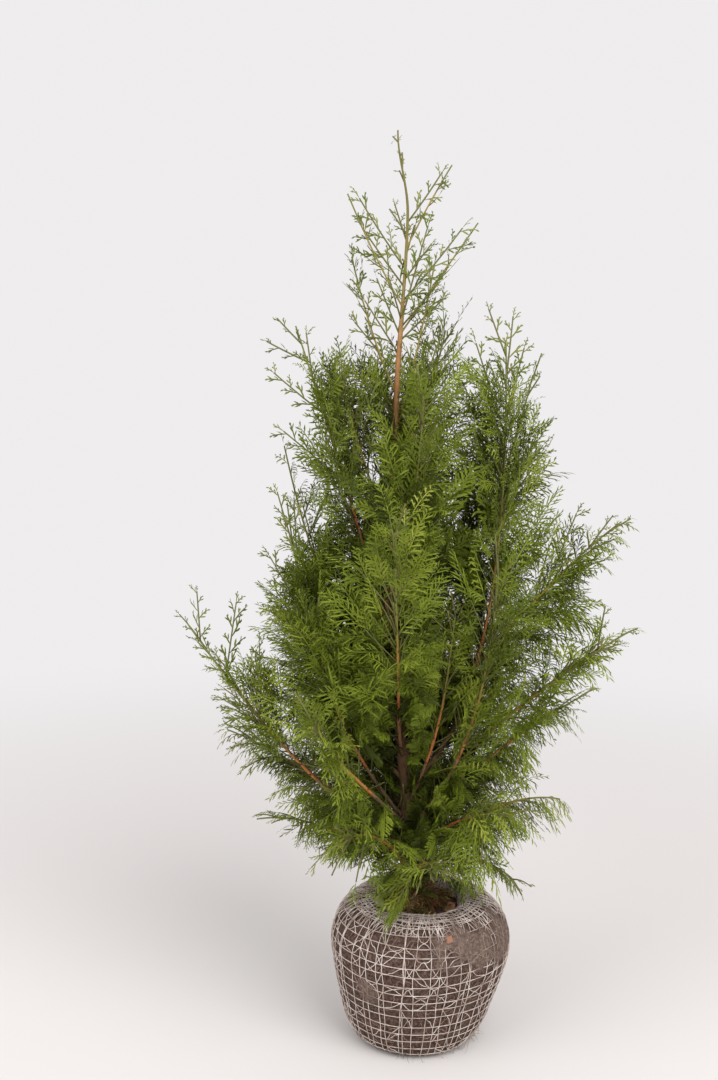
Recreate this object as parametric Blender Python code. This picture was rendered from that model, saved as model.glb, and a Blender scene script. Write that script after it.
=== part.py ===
"""A young thuja, lifted from the field with its root ball in a net.

Metres, +Z up.  The origin is the middle of the root ball's flat underside.
+X is to the right and +Y to the back when the plant is seen from its front.

The root ball carries a band of gathered net round its mouth.  One trunk runs
from the soil in that mouth to the leader's tip.  Boughs leave it, turn up and
end where their foliage begins.  A mass of foliage is a stem with side twigs
and flat toothed sprays, all fused into one solid.
"""

import math
import random
from typing import NamedTuple

import bpy
import numpy as np
from mathutils.bvhtree import BVHTree

# ---- driving dimensions -------------------------------------------------
PLANT_HEIGHT = 1.405          # underside of the ball to the leader's tip
SOIL_HEIGHT = 0.210           # soil in the mouth of the net
SEAT_GAP = 0.0003             # air left between two solids that meet

# Root ball: radius and height, from the flat underside up and over the
# shoulder to the mouth of the net and the soil.
BALL_PROFILE = [
    (0.076, 0.000), (0.096, 0.010), (0.112, 0.040), (0.123, 0.080),
    (0.1345, 0.125), (0.1395, 0.165), (0.132, 0.195), (0.117, 0.2135),
    (0.100, 0.2225), (0.084, 0.2245), (0.070, 0.2195), (0.050, SOIL_HEIGHT),
]
BALL_SEGMENTS = 30
BALL_SKEW = -0.008            # the foot sits this far to the left of the mouth
BALL_LUMPS = [(2, 0.014, 0.6), (3, 0.011, 2.1), (5, 0.006, 4.0)]
BAND_ROWS = (8, 9, 10)        # rows of the profile that the net band lies on
BAND_HEIGHT = 0.0085
BAND_GAP = 0.0005             # upright, so that it is SEAT_GAP across the slope

# Trunk: sideways place of its axis at shares of its height.
TRUNK_BENDS_X = [(0.0, -0.020), (0.12, -0.026), (0.40, -0.060), (0.66, -0.056),
                 (0.90, -0.045), (1.0, -0.062)]
TRUNK_BENDS_Y = [(0.0, 0.000), (0.35, 0.010), (0.70, -0.006), (1.0, 0.004)]
TRUNK_RADIUS = 0.0108
TRUNK_TIP_RADIUS = 0.0009
TRUNK_TAPER = 1.7
FLARE_WIDTH = 0.0055
FLARE_HEIGHT = 0.020
TRUNK_SIDES = 10
TRUNK_RINGS = 21

BOUGH_SIDES = 5
BOUGH_RINGS = 6
STEM_SIDES = 4
STEM_RINGS = 6
STEM_END = 0.88               # the last spray goes on from here to the tip
STEM_TIP_RADIUS = 0.0011

# Sprays: each has a twig for a stalk, then a flat blade with two teeth on each
# margin and a pointed tip.
BLADE_LENGTH = 0.150
BLADE_WIDTH = 0.30            # half width, share of the length
BLADE_THICKNESS = 0.020       # share of the length
BLADE_TEETH = [(0.36, 1.0), (0.50, 0.42), (0.72, 0.74)]
BLADE_RIB = 0.48              # where it is thickest
BLADE_SIZES = (1.0, 0.8, 0.62, 0.48)  # tried largest first, before it is left out
BLADE_ROLLS = (0.0, 0.9, -0.9)  # and each size turned round its twig by these, in radians
TWIG_RADIUS = 0.0012
TWIG_FOOT = 0.0008
TWIG_SPACING = 0.062
LEAST_STALK = 0.012
END_LAP = 0.006               # how far the last spray's twig laps the stem's end
ROOT_CLEAR = 0.007            # a twig may touch its own mass as far as this from its foot
END_LEAN = 0.60               # radians from the stem to the sprays that fork at its end
FORK_LEAN = 0.80              # and from a twig to the one that forks from it
CLEARANCE = 0.0006            # least air between two masses
EDGE_SLACK = 1.04             # a spray may pass the crown's edge by this share
HOME_SLACK = 0.030            # and be this much nearer to another limb than to its own

# The crown's edge: height, furthest left and right, and reach to front and back.
CROWN_EDGE = [
    (0.25, -0.120, 0.125, 0.120), (0.30, -0.215, 0.140, 0.190), (0.37, -0.265, 0.205, 0.240),
    (0.48, -0.325, 0.230, 0.260), (0.58, -0.325, 0.275, 0.280), (0.66, -0.360, 0.310, 0.275),
    (0.72, -0.386, 0.318, 0.265), (0.77, -0.290, 0.300, 0.260), (0.84, -0.235, 0.3205, 0.240),
    (0.90, -0.230, 0.240, 0.220), (1.00, -0.235, 0.205, 0.195), (1.10, -0.260, 0.190, 0.170),
    (1.16, -0.210, 0.120, 0.130), (1.25, -0.120, 0.050, 0.085), (1.33, -0.112, 0.020, 0.060),
    (1.41, -0.070, -0.045, 0.020),
]


class Limb(NamedTuple):
    """One limb with the mass of foliage at its end."""

    name: str
    height: float             # where it leaves the trunk's axis
    azimuth: float            # degrees, 0 to the right, 90 to the back
    knee: tuple               # distance from the axis, and height, of its bend
    tip: tuple                # distance from the axis, and height, of its tip
    spread: float             # half width of its foliage
    bough: float              # share of the limb that is bare bough, or 0
    radius: float             # at the trunk
    droop: float = 0.0        # how far a spray's tip hangs, share of its length


LIMBS = [
    # left side
    Limb("left_low", 0.262, 183, (0.150, 0.375), (0.250, 0.352), 0.070, 0.0, 0.0024, 0.35),
    Limb("left_skirt", 0.292, 168, (0.150, 0.435), (0.315, 0.480), 0.085, 0.34, 0.0036, 0.30),
    Limb("left_arm", 0.305, 186, (0.165, 0.400), (0.364, 0.700), 0.095, 0.42, 0.0046, 0.10),
    Limb("left_inner", 0.350, 204, (0.130, 0.500), (0.170, 0.700), 0.080, 0.30, 0.0034, 0.10),
    Limb("left_mid", 0.418, 177, (0.155, 0.520), (0.195, 0.888), 0.090, 0.34, 0.0040, 0.05),
    Limb("left_outer", 0.520, 160, (0.130, 0.650), (0.205, 0.965), 0.075, 0.36, 0.0034),
    Limb("left_high", 0.640, 184, (0.068, 0.880), (0.160, 1.146), 0.080, 0.36, 0.0034),
    # right side
    Limb("right_low", 0.282, 352, (0.150, 0.425), (0.245, 0.400), 0.080, 0.36, 0.0032, 0.40),
    Limb("right_skirt", 0.330, 12, (0.195, 0.510), (0.300, 0.548), 0.090, 0.34, 0.0038, 0.35),
    Limb("right_wing", 0.372, 350, (0.200, 0.590), (0.346, 0.684), 0.090, 0.38, 0.0040, 0.20),
    Limb("right_arm", 0.452, 8, (0.190, 0.720), (0.355, 0.838), 0.085, 0.36, 0.0038, 0.15),
    Limb("right_leader", 0.400, 356, (0.170, 0.560), (0.130, 1.162), 0.080, 0.40, 0.0046),
    Limb("right_outer", 0.560, 22, (0.165, 0.760), (0.232, 1.082), 0.080, 0.36, 0.0034),
    # front
    Limb("front_left", 0.345, 232, (0.150, 0.455), (0.235, 0.560), 0.090, 0.34, 0.0036, 0.20),
    Limb("front_right", 0.335, 318, (0.150, 0.470), (0.165, 0.800), 0.085, 0.40, 0.0040, 0.05),
    Limb("front_mid", 0.455, 262, (0.140, 0.560), (0.165, 0.860), 0.080, 0.32, 0.0036, 0.05),
    Limb("front_inner", 0.375, 300, (0.100, 0.500), (0.125, 0.730), 0.075, 0.30, 0.0034, 0.10),
    Limb("front_high", 0.610, 290, (0.080, 0.780), (0.110, 1.040), 0.070, 0.32, 0.0030),
    # back
    Limb("back_left", 0.360, 128, (0.165, 0.500), (0.275, 0.640), 0.095, 0.38, 0.0038, 0.20),
    Limb("back_right", 0.392, 50, (0.170, 0.540), (0.270, 0.720), 0.095, 0.38, 0.0038, 0.15),
    Limb("back_mid", 0.490, 98, (0.150, 0.640), (0.200, 0.900), 0.090, 0.34, 0.0036, 0.05),
    Limb("back_high", 0.665, 70, (0.085, 0.850), (0.140, 1.100), 0.075, 0.32, 0.0030),
    # short limbs low on the trunk, leafy from the bark out
    Limb("low_front_left", 0.272, 238, (0.115, 0.395), (0.200, 0.372), 0.070, 0.0, 0.0024, 0.35),
    Limb("low_front", 0.250, 282, (0.100, 0.345), (0.175, 0.300), 0.060, 0.0, 0.0022, 0.40),
    Limb("low_front_right", 0.300, 314, (0.125, 0.410), (0.215, 0.420), 0.070, 0.0, 0.0024, 0.30),
    Limb("low_right", 0.240, 338, (0.105, 0.345), (0.180, 0.276), 0.050, 0.0, 0.0020, 0.45),
    Limb("low_back_left", 0.276, 138, (0.120, 0.400), (0.225, 0.392), 0.075, 0.0, 0.0024, 0.35),
    Limb("low_back", 0.256, 88, (0.110, 0.375), (0.205, 0.345), 0.070, 0.0, 0.0024, 0.35),
    Limb("low_back_right", 0.306, 40, (0.130, 0.425), (0.235, 0.430), 0.075, 0.0, 0.0024, 0.30),
    # open shoots round the leader
    Limb("leader_1", 0.800, 208, (0.060, 0.930), (0.095, 1.060), 0.060, 0.0, 0.0022),
    Limb("leader_2", 0.880, 30, (0.060, 1.000), (0.090, 1.130), 0.055, 0.0, 0.0020),
    Limb("leader_3", 0.960, 330, (0.035, 1.080), (0.060, 1.220), 0.045, 0.0, 0.0018),
    Limb("leader_4", 1.020, 170, (0.045, 1.110), (0.075, 1.235), 0.045, 0.0, 0.0017),
    Limb("leader_5", 1.110, 12, (0.055, 1.190), (0.122, 1.285), 0.035, 0.0, 0.0015),
    Limb("leader_6", 1.150, 196, (0.045, 1.220), (0.092, 1.320), 0.032, 0.0, 0.0014),
    Limb("leader_7", 1.235, 355, (0.030, 1.300), (0.068, 1.362), 0.022, 0.0, 0.0013),
]


# ---- curves -------------------------------------------------------------
def unit(vector):
    return vector / np.linalg.norm(vector)


def eased(table, share):
    """Value at a share of the way through a table of (share, value) bends."""
    for (s0, v0), (s1, v1) in zip(table, table[1:]):
        if share <= s1:
            t = (share - s0) / (s1 - s0)
            return v0 + (v1 - v0) * t * t * (3 - 2 * t)
    return table[-1][1]


def height_share(height):
    return (height - SOIL_HEIGHT) / (PLANT_HEIGHT - SOIL_HEIGHT)


def trunk_axis(height):
    share = height_share(height)
    return np.array([eased(TRUNK_BENDS_X, share), eased(TRUNK_BENDS_Y, share), height])


def trunk_radius(height):
    """Tapers to the tip, and flares where the roots start."""
    taper = TRUNK_RADIUS * max(0.0, 1 - height_share(height)) ** TRUNK_TAPER
    flare = FLARE_WIDTH * math.exp(-(height - SOIL_HEIGHT) / FLARE_HEIGHT)
    return taper + flare + TRUNK_TIP_RADIUS


def crown_share(point):
    """How far out a point lies in the crown: 0 on the trunk's axis and 1 on the crown's edge."""
    x, y, z = point
    left, right, depth = (np.interp(z, [row[0] for row in CROWN_EDGE], [row[k] for row in CROWN_EDGE])
                          for k in (1, 2, 3))
    axis = trunk_axis(min(PLANT_HEIGHT, max(SOIL_HEIGHT, z)))
    side = right - axis[0] if x > axis[0] else axis[0] - left
    return math.hypot((x - axis[0]) / side, (y - axis[1]) / depth)


def limb_point(limb, u):
    """A point on the limb's curve, from the trunk's axis at 0 to the tip at 1."""
    out = 2 * u * (1 - u) * limb.knee[0] + u * u * limb.tip[0]
    height = (1 - u) ** 2 * limb.height + 2 * u * (1 - u) * limb.knee[1] + u * u * limb.tip[1]
    sway = 0.05 * limb.tip[0] * u * (1 - u) * math.sin(2 * math.pi * u + limb.azimuth)
    angle = math.radians(limb.azimuth)
    outward = np.array([math.cos(angle), math.sin(angle), 0])
    sideways = np.array([-math.sin(angle), math.cos(angle), 0])
    root = trunk_axis(limb.height)
    return np.array([root[0], root[1], height]) + out * outward + sway * sideways


def limb_path(limb, start, end, count):
    return np.array([limb_point(limb, u) for u in np.linspace(start, end, count)])


def limb_radius(limb, u):
    """Tapers from the trunk to the stem's end."""
    return limb.radius + (STEM_TIP_RADIUS - limb.radius) * u ** 0.7


# ---- meshes -------------------------------------------------------------
def ring_faces(rings, sides):
    """Faces of a tube of rings, with its two ends closed."""
    faces = []
    for ring in range(rings - 1):
        for k in range(sides):
            a, b = ring * sides + k, ring * sides + (k + 1) % sides
            faces.append((a, b, b + sides, a + sides))
    last = (rings - 1) * sides
    faces.append(tuple(range(sides - 1, -1, -1)))
    faces.append(tuple(range(last, last + sides)))
    return faces


def tube(path, radii, sides):
    """Points and faces of a tapering tube along a path."""
    tangents = np.gradient(path, axis=0)
    across = np.cross(tangents[0], [0.31, 0.95, 0.07])
    points = []
    for place, tangent, radius in zip(path, tangents, radii):
        tangent = unit(tangent)
        across = unit(across - tangent * (across @ tangent))
        other = np.cross(tangent, across)
        for k in range(sides):
            turn = 2 * math.pi * k / sides
            points.append(place + radius * (math.cos(turn) * across + math.sin(turn) * other))
    return np.array(points), ring_faces(len(path), sides)


def diamond(place, across, normal, size):
    return [place + across * size, place + normal * size, place - across * size, place - normal * size]


def spray_shape(spray, limb):
    """Points and faces of one spray: a four-sided twig, then a blade of four strips.

    Each strip lies between a margin, which runs from the twig over the teeth
    to the tip, and a rib, which runs from the twig over the thickest place.
    The blades of a slim mass are slim too.
    """
    width = BLADE_WIDTH * min(1.0, 0.4 + limb.spread / 0.13)
    aim, across, length = spray.aim, spray.across, spray.length
    normal = np.cross(aim, across)
    neck = spray.foot + aim * spray.stalk

    def place(s, w, n):
        fall = np.array([0, 0, -limb.droop * length * s * s])
        return neck + length * (aim * s + across * w * width + normal * n) + fall

    points = [place(1, 0, 0)]
    points += diamond(spray.foot, across, normal, TWIG_FOOT) + diamond(neck, across, normal, TWIG_RADIUS)
    points += [place(s, side * w, 0) for side in (1, -1) for s, w in BLADE_TEETH]
    points += [place(BLADE_RIB, 0, side * BLADE_THICKNESS / 2) for side in (1, -1)]
    tip, low, high, teeth, rib = 0, 1, 5, 9, 15
    faces = [(low + 3, low + 2, low + 1, low)]
    for k in range(4):
        faces.append((low + k, low + (k + 1) % 4, high + (k + 1) % 4, high + k))
    for side in (0, 1):
        a, b, c = range(teeth + 3 * side, teeth + 3 * side + 3)
        edge = high + 2 * side
        for face_up in (0, 1):
            top, middle = high + 1 + 2 * face_up, rib + face_up
            strip = [(edge, a, top), (a, b, top), (b, middle, top), (b, c, middle), (c, tip, middle)]
            faces += strip if side != face_up else [face[::-1] for face in strip]
    return np.array(points), faces


def mesh_object(name, shape, material, collection=None):
    points, faces = shape
    mesh = bpy.data.meshes.new(name)
    mesh.from_pydata([tuple(p) for p in points], [], faces)
    mesh.materials.append(material)
    made = bpy.data.objects.new(name, mesh)
    (collection or bpy.context.scene.collection).objects.link(made)
    return made


def plain_material(name, colour, roughness):
    material = bpy.data.materials.new(name)
    material.use_nodes = True
    shader = material.node_tree.nodes["Principled BSDF"]
    shader.inputs["Base Color"].default_value = (*colour, 1)
    shader.inputs["Roughness"].default_value = roughness
    shader.inputs["Metallic"].default_value = 0.0
    return material


def apply_boolean(target, operation, other):
    """Joins or cuts target with one object or one collection, and keeps the result."""
    modifier = target.modifiers.new("join", "BOOLEAN")
    modifier.operation = operation
    modifier.solver = "EXACT"
    if isinstance(other, bpy.types.Collection):
        modifier.operand_type = "COLLECTION"
        modifier.collection = other
    else:
        modifier.object = other
    graph = bpy.context.evaluated_depsgraph_get()
    result = bpy.data.meshes.new_from_object(target.evaluated_get(graph))
    target.modifiers.clear()
    target.data = result


# ---- root ball, net band and trunk --------------------------------------
def ball_ring(radius, height, lift=0.0):
    """One ring of the ball, lumpy round its waist and true at its foot and mouth."""
    waist = math.sin(math.pi * height / 0.23) if radius > 0.095 else 0.0
    skew = BALL_SKEW * max(0.0, 1 - height / 0.14)
    ring = []
    for k in range(BALL_SEGMENTS):
        angle = 2 * math.pi * k / BALL_SEGMENTS
        lumps = sum(size * math.sin(count * angle + start) for count, size, start in BALL_LUMPS)
        r = radius * (1 + waist * lumps)
        ring.append((r * math.cos(angle) + skew, r * math.sin(angle), height + lift))
    return ring


def root_ball_shape():
    points = [p for radius, height in BALL_PROFILE for p in ball_ring(radius, height)]
    return np.array(points), ring_faces(len(BALL_PROFILE), BALL_SEGMENTS)


def net_band_shape():
    """A rounded band that lies on the ball's own rings round the mouth of the net."""
    seat = [BALL_PROFILE[row] for row in BAND_ROWS]
    rings = [ball_ring(r, z, BAND_GAP) for r, z in seat]
    for (r, z), share in zip(seat[::-1], (0.55, 1.0, 0.45)):
        rings.append(ball_ring(r, z, BAND_GAP + BAND_HEIGHT * share))
    rows, n = len(rings), BALL_SEGMENTS
    faces = []
    for row in range(rows):
        for k in range(n):
            a, b = row * n + k, row * n + (k + 1) % n
            c, d = (row + 1) % rows * n + (k + 1) % n, (row + 1) % rows * n + k
            faces.append((d, c, b, a))
    return np.array([p for ring in rings for p in ring]), faces


def trunk_shape(extra):
    """The trunk, or with extra a slightly fatter one that cuts its limbs' seats."""
    foot = SOIL_HEIGHT + SEAT_GAP - extra
    top = PLANT_HEIGHT + extra
    heights = foot + (top - foot) * np.linspace(0, 1, TRUNK_RINGS) ** 1.1
    points = []
    for height in heights:
        place = trunk_axis(height)
        radius = trunk_radius(height) + extra
        for k in range(TRUNK_SIDES):
            turn = 2 * math.pi * k / TRUNK_SIDES
            points.append(place + radius * np.array([math.cos(turn), math.sin(turn), 0]))
    return np.array(points), ring_faces(TRUNK_RINGS, TRUNK_SIDES)


# ---- limbs and foliage --------------------------------------------------
def bough_shape(limb):
    path = limb_path(limb, 0, limb.bough, BOUGH_RINGS)
    radii = [limb_radius(limb, u) for u in np.linspace(0, limb.bough, BOUGH_RINGS)]
    return tube(path, radii, BOUGH_SIDES)


def stem_shape(limb):
    """The stem goes on from the bough's end, or starts inside the trunk."""
    path = limb_path(limb, limb.bough, STEM_END, STEM_RINGS)
    radii = [limb_radius(limb, u) for u in np.linspace(limb.bough, STEM_END, STEM_RINGS)]
    if limb.bough:
        path[0] += unit(path[1] - path[0]) * SEAT_GAP
    return tube(path, radii, STEM_SIDES)


def fan_frame(limb, u, roll):
    """The limb's direction at u, and a direction square to it, rolled from the level."""
    along = unit(limb_point(limb, u + 0.02) - limb_point(limb, u - 0.02))
    angle = math.radians(limb.azimuth)
    level = np.array([-math.sin(angle), math.cos(angle), 0])
    across = unit(level - along * (level @ along))
    normal = np.cross(along, across)
    return along, math.cos(roll) * across + math.sin(roll) * normal


def width_share(share):
    """Outline of a mass: it widens fast from its foot and narrows to its tip."""
    return min(1.0, 0.5 + 2.0 * share) * (1 - share) ** 0.6


def spray_frame(aim, roll):
    """A direction square to aim, rolled round it."""
    level = unit(np.cross(aim, [0.13, 0.09, 1.0]))
    return math.cos(roll) * level + math.sin(roll) * np.cross(aim, level)


class Spray(NamedTuple):
    """A twig with its blade, and the one of its mass that it forks from, or -1 for the stem."""

    foot: np.ndarray
    aim: np.ndarray
    across: np.ndarray
    stalk: float
    length: float
    parent: int = -1


def end_sprays(limb, chance):
    """One spray goes on from the stem's end to the limb's tip, and two fork off beside it."""
    end = limb_point(limb, STEM_END)
    reach = np.linalg.norm(limb_point(limb, 1) - end)
    along = unit(limb_point(limb, 1) - end)
    foot = end - along * END_LAP
    sprays = [Spray(foot, along, spray_frame(along, chance.uniform(-0.8, 0.8)), 2 * END_LAP, reach - END_LAP)]
    for side, u in ((1, STEM_END - 0.03), (-1, STEM_END - 0.11)):
        ahead, beside = fan_frame(limb, u, chance.uniform(-0.9, 0.9))
        aim = math.cos(END_LEAN) * ahead + side * math.sin(END_LEAN) * beside
        across = spray_frame(aim, chance.uniform(-1.2, 1.2))
        sprays.append(Spray(limb_point(limb, u), aim, across, LEAST_STALK, min(BLADE_LENGTH, reach)))
    return sprays


def side_sprays(limb, chance, first_index):
    """Twigs in turn left and right of the stem, rolling round it, and one that forks from each."""
    span = np.linalg.norm(limb_point(limb, 1) - limb_point(limb, limb.bough))
    count = max(3, round(span / TWIG_SPACING))
    first = 0.01 if limb.bough else 0.16
    blade = BLADE_LENGTH * min(1.0, 0.3 + limb.spread / 0.12)
    sprays = []
    for k in range(count):
        share = first + (0.76 - first) * (k + 0.3) / count
        u = limb.bough + (1 - limb.bough) * share
        foot = limb_point(limb, u)
        along, beside = fan_frame(limb, u, 1.2 * k + chance.uniform(-0.4, 0.4))
        side = 1 if k % 2 else -1
        lean = chance.uniform(0.55, 0.85)
        lift = np.array([0, 0, 0.12 - 0.5 * limb.droop])
        aim = unit(math.cos(lean) * along + side * math.sin(lean) * beside + lift)
        across = spray_frame(aim, chance.uniform(-1.2, 1.2))
        stalk = max(LEAST_STALK, limb.spread * width_share(share) * chance.uniform(0.4, 0.6))
        sprays.append(Spray(foot, aim, across, stalk, blade * chance.uniform(0.9, 1.05)))
        forked = math.cos(FORK_LEAN) * aim - side * math.sin(FORK_LEAN) * across
        turned = spray_frame(forked, chance.uniform(-1.2, 1.2))
        parent = first_index + len(sprays) - 1
        sprays.append(Spray(foot + aim * 0.45 * stalk, forked, turned, LEAST_STALK, 0.85 * blade, parent))
    return sprays


class Crown:
    """Remembers what has been placed, so that no two masses or limbs touch."""

    def __init__(self):
        self.placed = []
        self.stems = {limb.name: limb_path(limb, 0, 1, 12) for limb in LIMBS}

    def add(self, owner, shape):
        points, faces = shape
        tree = BVHTree.FromPolygons([tuple(p) for p in points], faces)
        self.placed.append((owner, points.min(0), points.max(0), tree))

    def touches(self, shape, owner, own):
        """Whether a shape comes near what has been placed of its own mass, or of all others."""
        points, faces = shape
        outward = points - points.mean(0)
        grown = points + CLEARANCE * outward / np.linalg.norm(outward, axis=1)[:, None]
        low, high = grown.min(0) - CLEARANCE, grown.max(0) + CLEARANCE
        tree = BVHTree.FromPolygons([tuple(p) for p in grown], faces)
        for other, other_low, other_high, other_tree in self.placed:
            if (other == owner) == own and (low < other_high).all() and (high > other_low).all():
                if tree.overlap(other_tree):
                    return True
        return False

    def is_home(self, owner, points):
        """In its own space: inside the crown's edge, and nearest to its own limb."""
        if max(crown_share(point) for point in points) > EDGE_SLACK or points[:, 2].max() > PLANT_HEIGHT:
            return False
        for point in (points.mean(0), points[0]):
            near = {name: np.linalg.norm(stem - point, axis=1).min() for name, stem in self.stems.items()}
            if near[owner] > HOME_SLACK + min(near.values()):
                return False
        return True

    def fitted(self, limb, spray):
        """The largest size and first turn of a spray that fits, or None."""
        for size in BLADE_SIZES:
            for roll in BLADE_ROLLS:
                across = math.cos(roll) * spray.across + math.sin(roll) * np.cross(spray.aim, spray.across)
                tried = spray._replace(across=across, length=spray.length * size)
                shape = spray_shape(tried, limb)
                rootless = tried._replace(foot=tried.foot + tried.aim * ROOT_CLEAR,
                                          stalk=tried.stalk - ROOT_CLEAR)
                if not self.is_home(limb.name, shape[0]) or self.touches(shape, limb.name, False):
                    continue
                if not self.touches(spray_shape(rootless, limb), limb.name, True):
                    return shape
        return None


def main():
    for obj in list(bpy.data.objects):
        bpy.data.objects.remove(obj)

    earth = plain_material("earth", (0.075, 0.052, 0.040), 0.95)
    netting = plain_material("netting", (0.52, 0.46, 0.42), 0.8)
    bark = plain_material("bark", (0.17, 0.085, 0.045), 0.85)
    foliage = plain_material("foliage", (0.085, 0.115, 0.018), 0.6)

    crown = Crown()
    plain_shapes = {"root_ball": (root_ball_shape(), earth), "net_band": (net_band_shape(), netting),
                    "trunk": (trunk_shape(0.0), bark)}
    for name, (shape, material) in plain_shapes.items():
        mesh_object(name, shape, material)
        crown.add(name, shape)
    seat = mesh_object("trunk_seat", trunk_shape(SEAT_GAP), bark)

    parts, plans = {}, {}
    for order, limb in enumerate(LIMBS):
        if limb.bough:
            shape = bough_shape(limb)
            bough = mesh_object("bough_" + limb.name, shape, bark)
            apply_boolean(bough, "DIFFERENCE", seat)
            crown.add("bough_" + limb.name, shape)
        parts[limb.name] = {-1: stem_shape(limb)}
        crown.add(limb.name, parts[limb.name][-1])
        chance = random.Random(100 + order)
        ends = end_sprays(limb, chance)
        plans[limb.name] = ends + side_sprays(limb, chance, len(ends))

    # one spray of each mass in turn, so that no mass crowds its neighbours out
    for turn in range(max(len(plan) for plan in plans.values())):
        for limb in LIMBS:
            placed, plan = parts[limb.name], plans[limb.name]
            if turn < len(plan) and plan[turn].parent in placed:
                shape = crown.fitted(limb, plan[turn])
                if shape:
                    placed[turn] = shape
                    crown.add(limb.name, shape)

    for limb in LIMBS:
        stem, *rest = parts[limb.name].values()
        mass = mesh_object(limb.name, stem, foliage)
        pieces = bpy.data.collections.new(limb.name + "_pieces")
        bpy.context.scene.collection.children.link(pieces)
        for k, shape in enumerate(rest):
            mesh_object(f"{limb.name}_{k}", shape, foliage, pieces)
        apply_boolean(mass, "UNION", pieces)
        for obj in list(pieces.objects):
            bpy.data.objects.remove(obj)
        bpy.data.collections.remove(pieces)
        if not limb.bough:
            apply_boolean(mass, "DIFFERENCE", seat)
    bpy.data.objects.remove(seat)


main()
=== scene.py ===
# A young thuja on its netted root ball: the finish of every surface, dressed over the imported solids.
# Metres, +Z up. +X is to the right and +Y to the back when the plant is seen from its front.
import math
from collections import namedtuple

import bpy
import numpy as np
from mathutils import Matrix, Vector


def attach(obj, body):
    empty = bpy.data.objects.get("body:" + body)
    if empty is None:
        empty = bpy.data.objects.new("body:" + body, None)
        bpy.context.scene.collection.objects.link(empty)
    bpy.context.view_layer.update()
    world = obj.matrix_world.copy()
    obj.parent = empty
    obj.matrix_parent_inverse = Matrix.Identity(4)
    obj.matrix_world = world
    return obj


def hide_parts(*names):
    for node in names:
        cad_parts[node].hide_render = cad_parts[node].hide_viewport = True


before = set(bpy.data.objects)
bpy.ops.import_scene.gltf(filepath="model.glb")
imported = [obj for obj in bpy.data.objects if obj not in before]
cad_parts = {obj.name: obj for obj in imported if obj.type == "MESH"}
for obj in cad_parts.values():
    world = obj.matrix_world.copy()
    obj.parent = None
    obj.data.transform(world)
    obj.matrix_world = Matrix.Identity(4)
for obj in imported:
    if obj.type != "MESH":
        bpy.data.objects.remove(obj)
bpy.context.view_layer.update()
sceneRoot = bpy.context.scene
up = np.array([0.0, 0.0, 1.0])
print("frame loaded:", len(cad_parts), "nodes")


# one sRGB hex colour to linear red, green, blue, alpha
def linearColour(code):
    parts = np.array([int(code[k:k + 2], 16) for k in (0, 2, 4)]) / 255
    linear = np.where(parts <= 0.04045, parts / 12.92, ((parts + 0.055) / 1.055) ** 2.4)
    return (*(float(part) for part in linear), 1.0)


# Adds one node: its own settings, then its sockets, each a value or a (node, output) link, and on a colour
# ramp its stops, [(place, hex), ...].
def addNode(tree, kind, settings, sockets, stops=()):
    node = tree.nodes.new(kind)
    for name, value in settings.items():
        setattr(node, name, value)
    for name, value in sockets.items():
        if isinstance(value, tuple) and isinstance(value[0], bpy.types.Node):
            tree.links.new(value[0].outputs[value[1]], node.inputs[name])
        else:
            node.inputs[name].default_value = value
    if stops:
        elements = node.color_ramp.elements
        while len(elements) < len(stops):
            elements.new(0.5)
        for element, (place, code) in zip(elements, stops):
            element.position = place
            element.color = linearColour(code)
    return node


# a material with one plain colour, or with none where a pattern is linked to it
def newMaterial(name, roughness, ior=1.5, colour=None, gloss=0.5):
    material = bpy.data.materials.new(name)
    material.use_nodes = True
    shader = material.node_tree.nodes["Principled BSDF"]
    values = {"Roughness": roughness, "IOR": ior, "Specular IOR Level": gloss}
    if colour:
        values["Base Color"] = linearColour(colour)
    for socket, value in values.items():
        shader.inputs[socket].default_value = value
    return material, material.node_tree, shader


# A mesh piece from whole arrays: points (n, 3), and lists of faces, each array with one corner count.
def meshPiece(name, points, faceGroups, materials, faceMaterial=None, smooth=True):
    corners = np.concatenate([group.ravel() for group in faceGroups]).astype(np.int32)
    sizes = np.concatenate([np.full(len(group), group.shape[1]) for group in faceGroups])
    mesh = bpy.data.meshes.new(name)
    mesh.vertices.add(len(points))
    mesh.vertices.foreach_set("co", np.ascontiguousarray(points, np.float32).ravel())
    mesh.loops.add(len(corners))
    mesh.polygons.add(len(sizes))
    starts = np.concatenate([[0], np.cumsum(sizes)[:-1]])
    mesh.polygons.foreach_set("loop_start", starts.astype(np.int32))
    mesh.polygons.foreach_set("vertices", corners)
    mesh.polygons.foreach_set("use_smooth", np.full(len(sizes), smooth))
    for material in materials:
        mesh.materials.append(material)
    if faceMaterial is not None:
        mesh.polygons.foreach_set("material_index", faceMaterial.astype(np.int32))
    mesh.update(calc_edges=True)
    piece = bpy.data.objects.new(name, mesh)
    sceneRoot.collection.objects.link(piece)
    return piece


# parts, each points and faces, put together: the faces of each count on from the points before it
def stackParts(parts):
    starts = np.cumsum([0] + [len(points) for points, _ in parts])
    faces = [faces + start for (_, faces), start in zip(parts, starts)]
    return np.concatenate([points for points, _ in parts]), np.concatenate(faces)


# quads between the points of a grid, which closes on itself along its rows or its columns where asked
def gridQuads(rows, columns, closeRows=False, closeColumns=False):
    steps = (rows - (not closeRows), columns - (not closeColumns))
    row, column = (part.ravel() for part in np.indices(steps))
    nextRow, nextColumn = (row + 1) % rows, (column + 1) % columns
    return np.stack([row * columns + column, row * columns + nextColumn,
                     nextRow * columns + nextColumn, nextRow * columns + column], -1)


# two values for every corner, laid on as the piece's own UV map
def layUv(piece, cornerUv):
    layer = piece.data.uv_layers.new(name="along")
    layer.data.foreach_set("uv", np.ascontiguousarray(cornerUv, np.float32).ravel())


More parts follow.
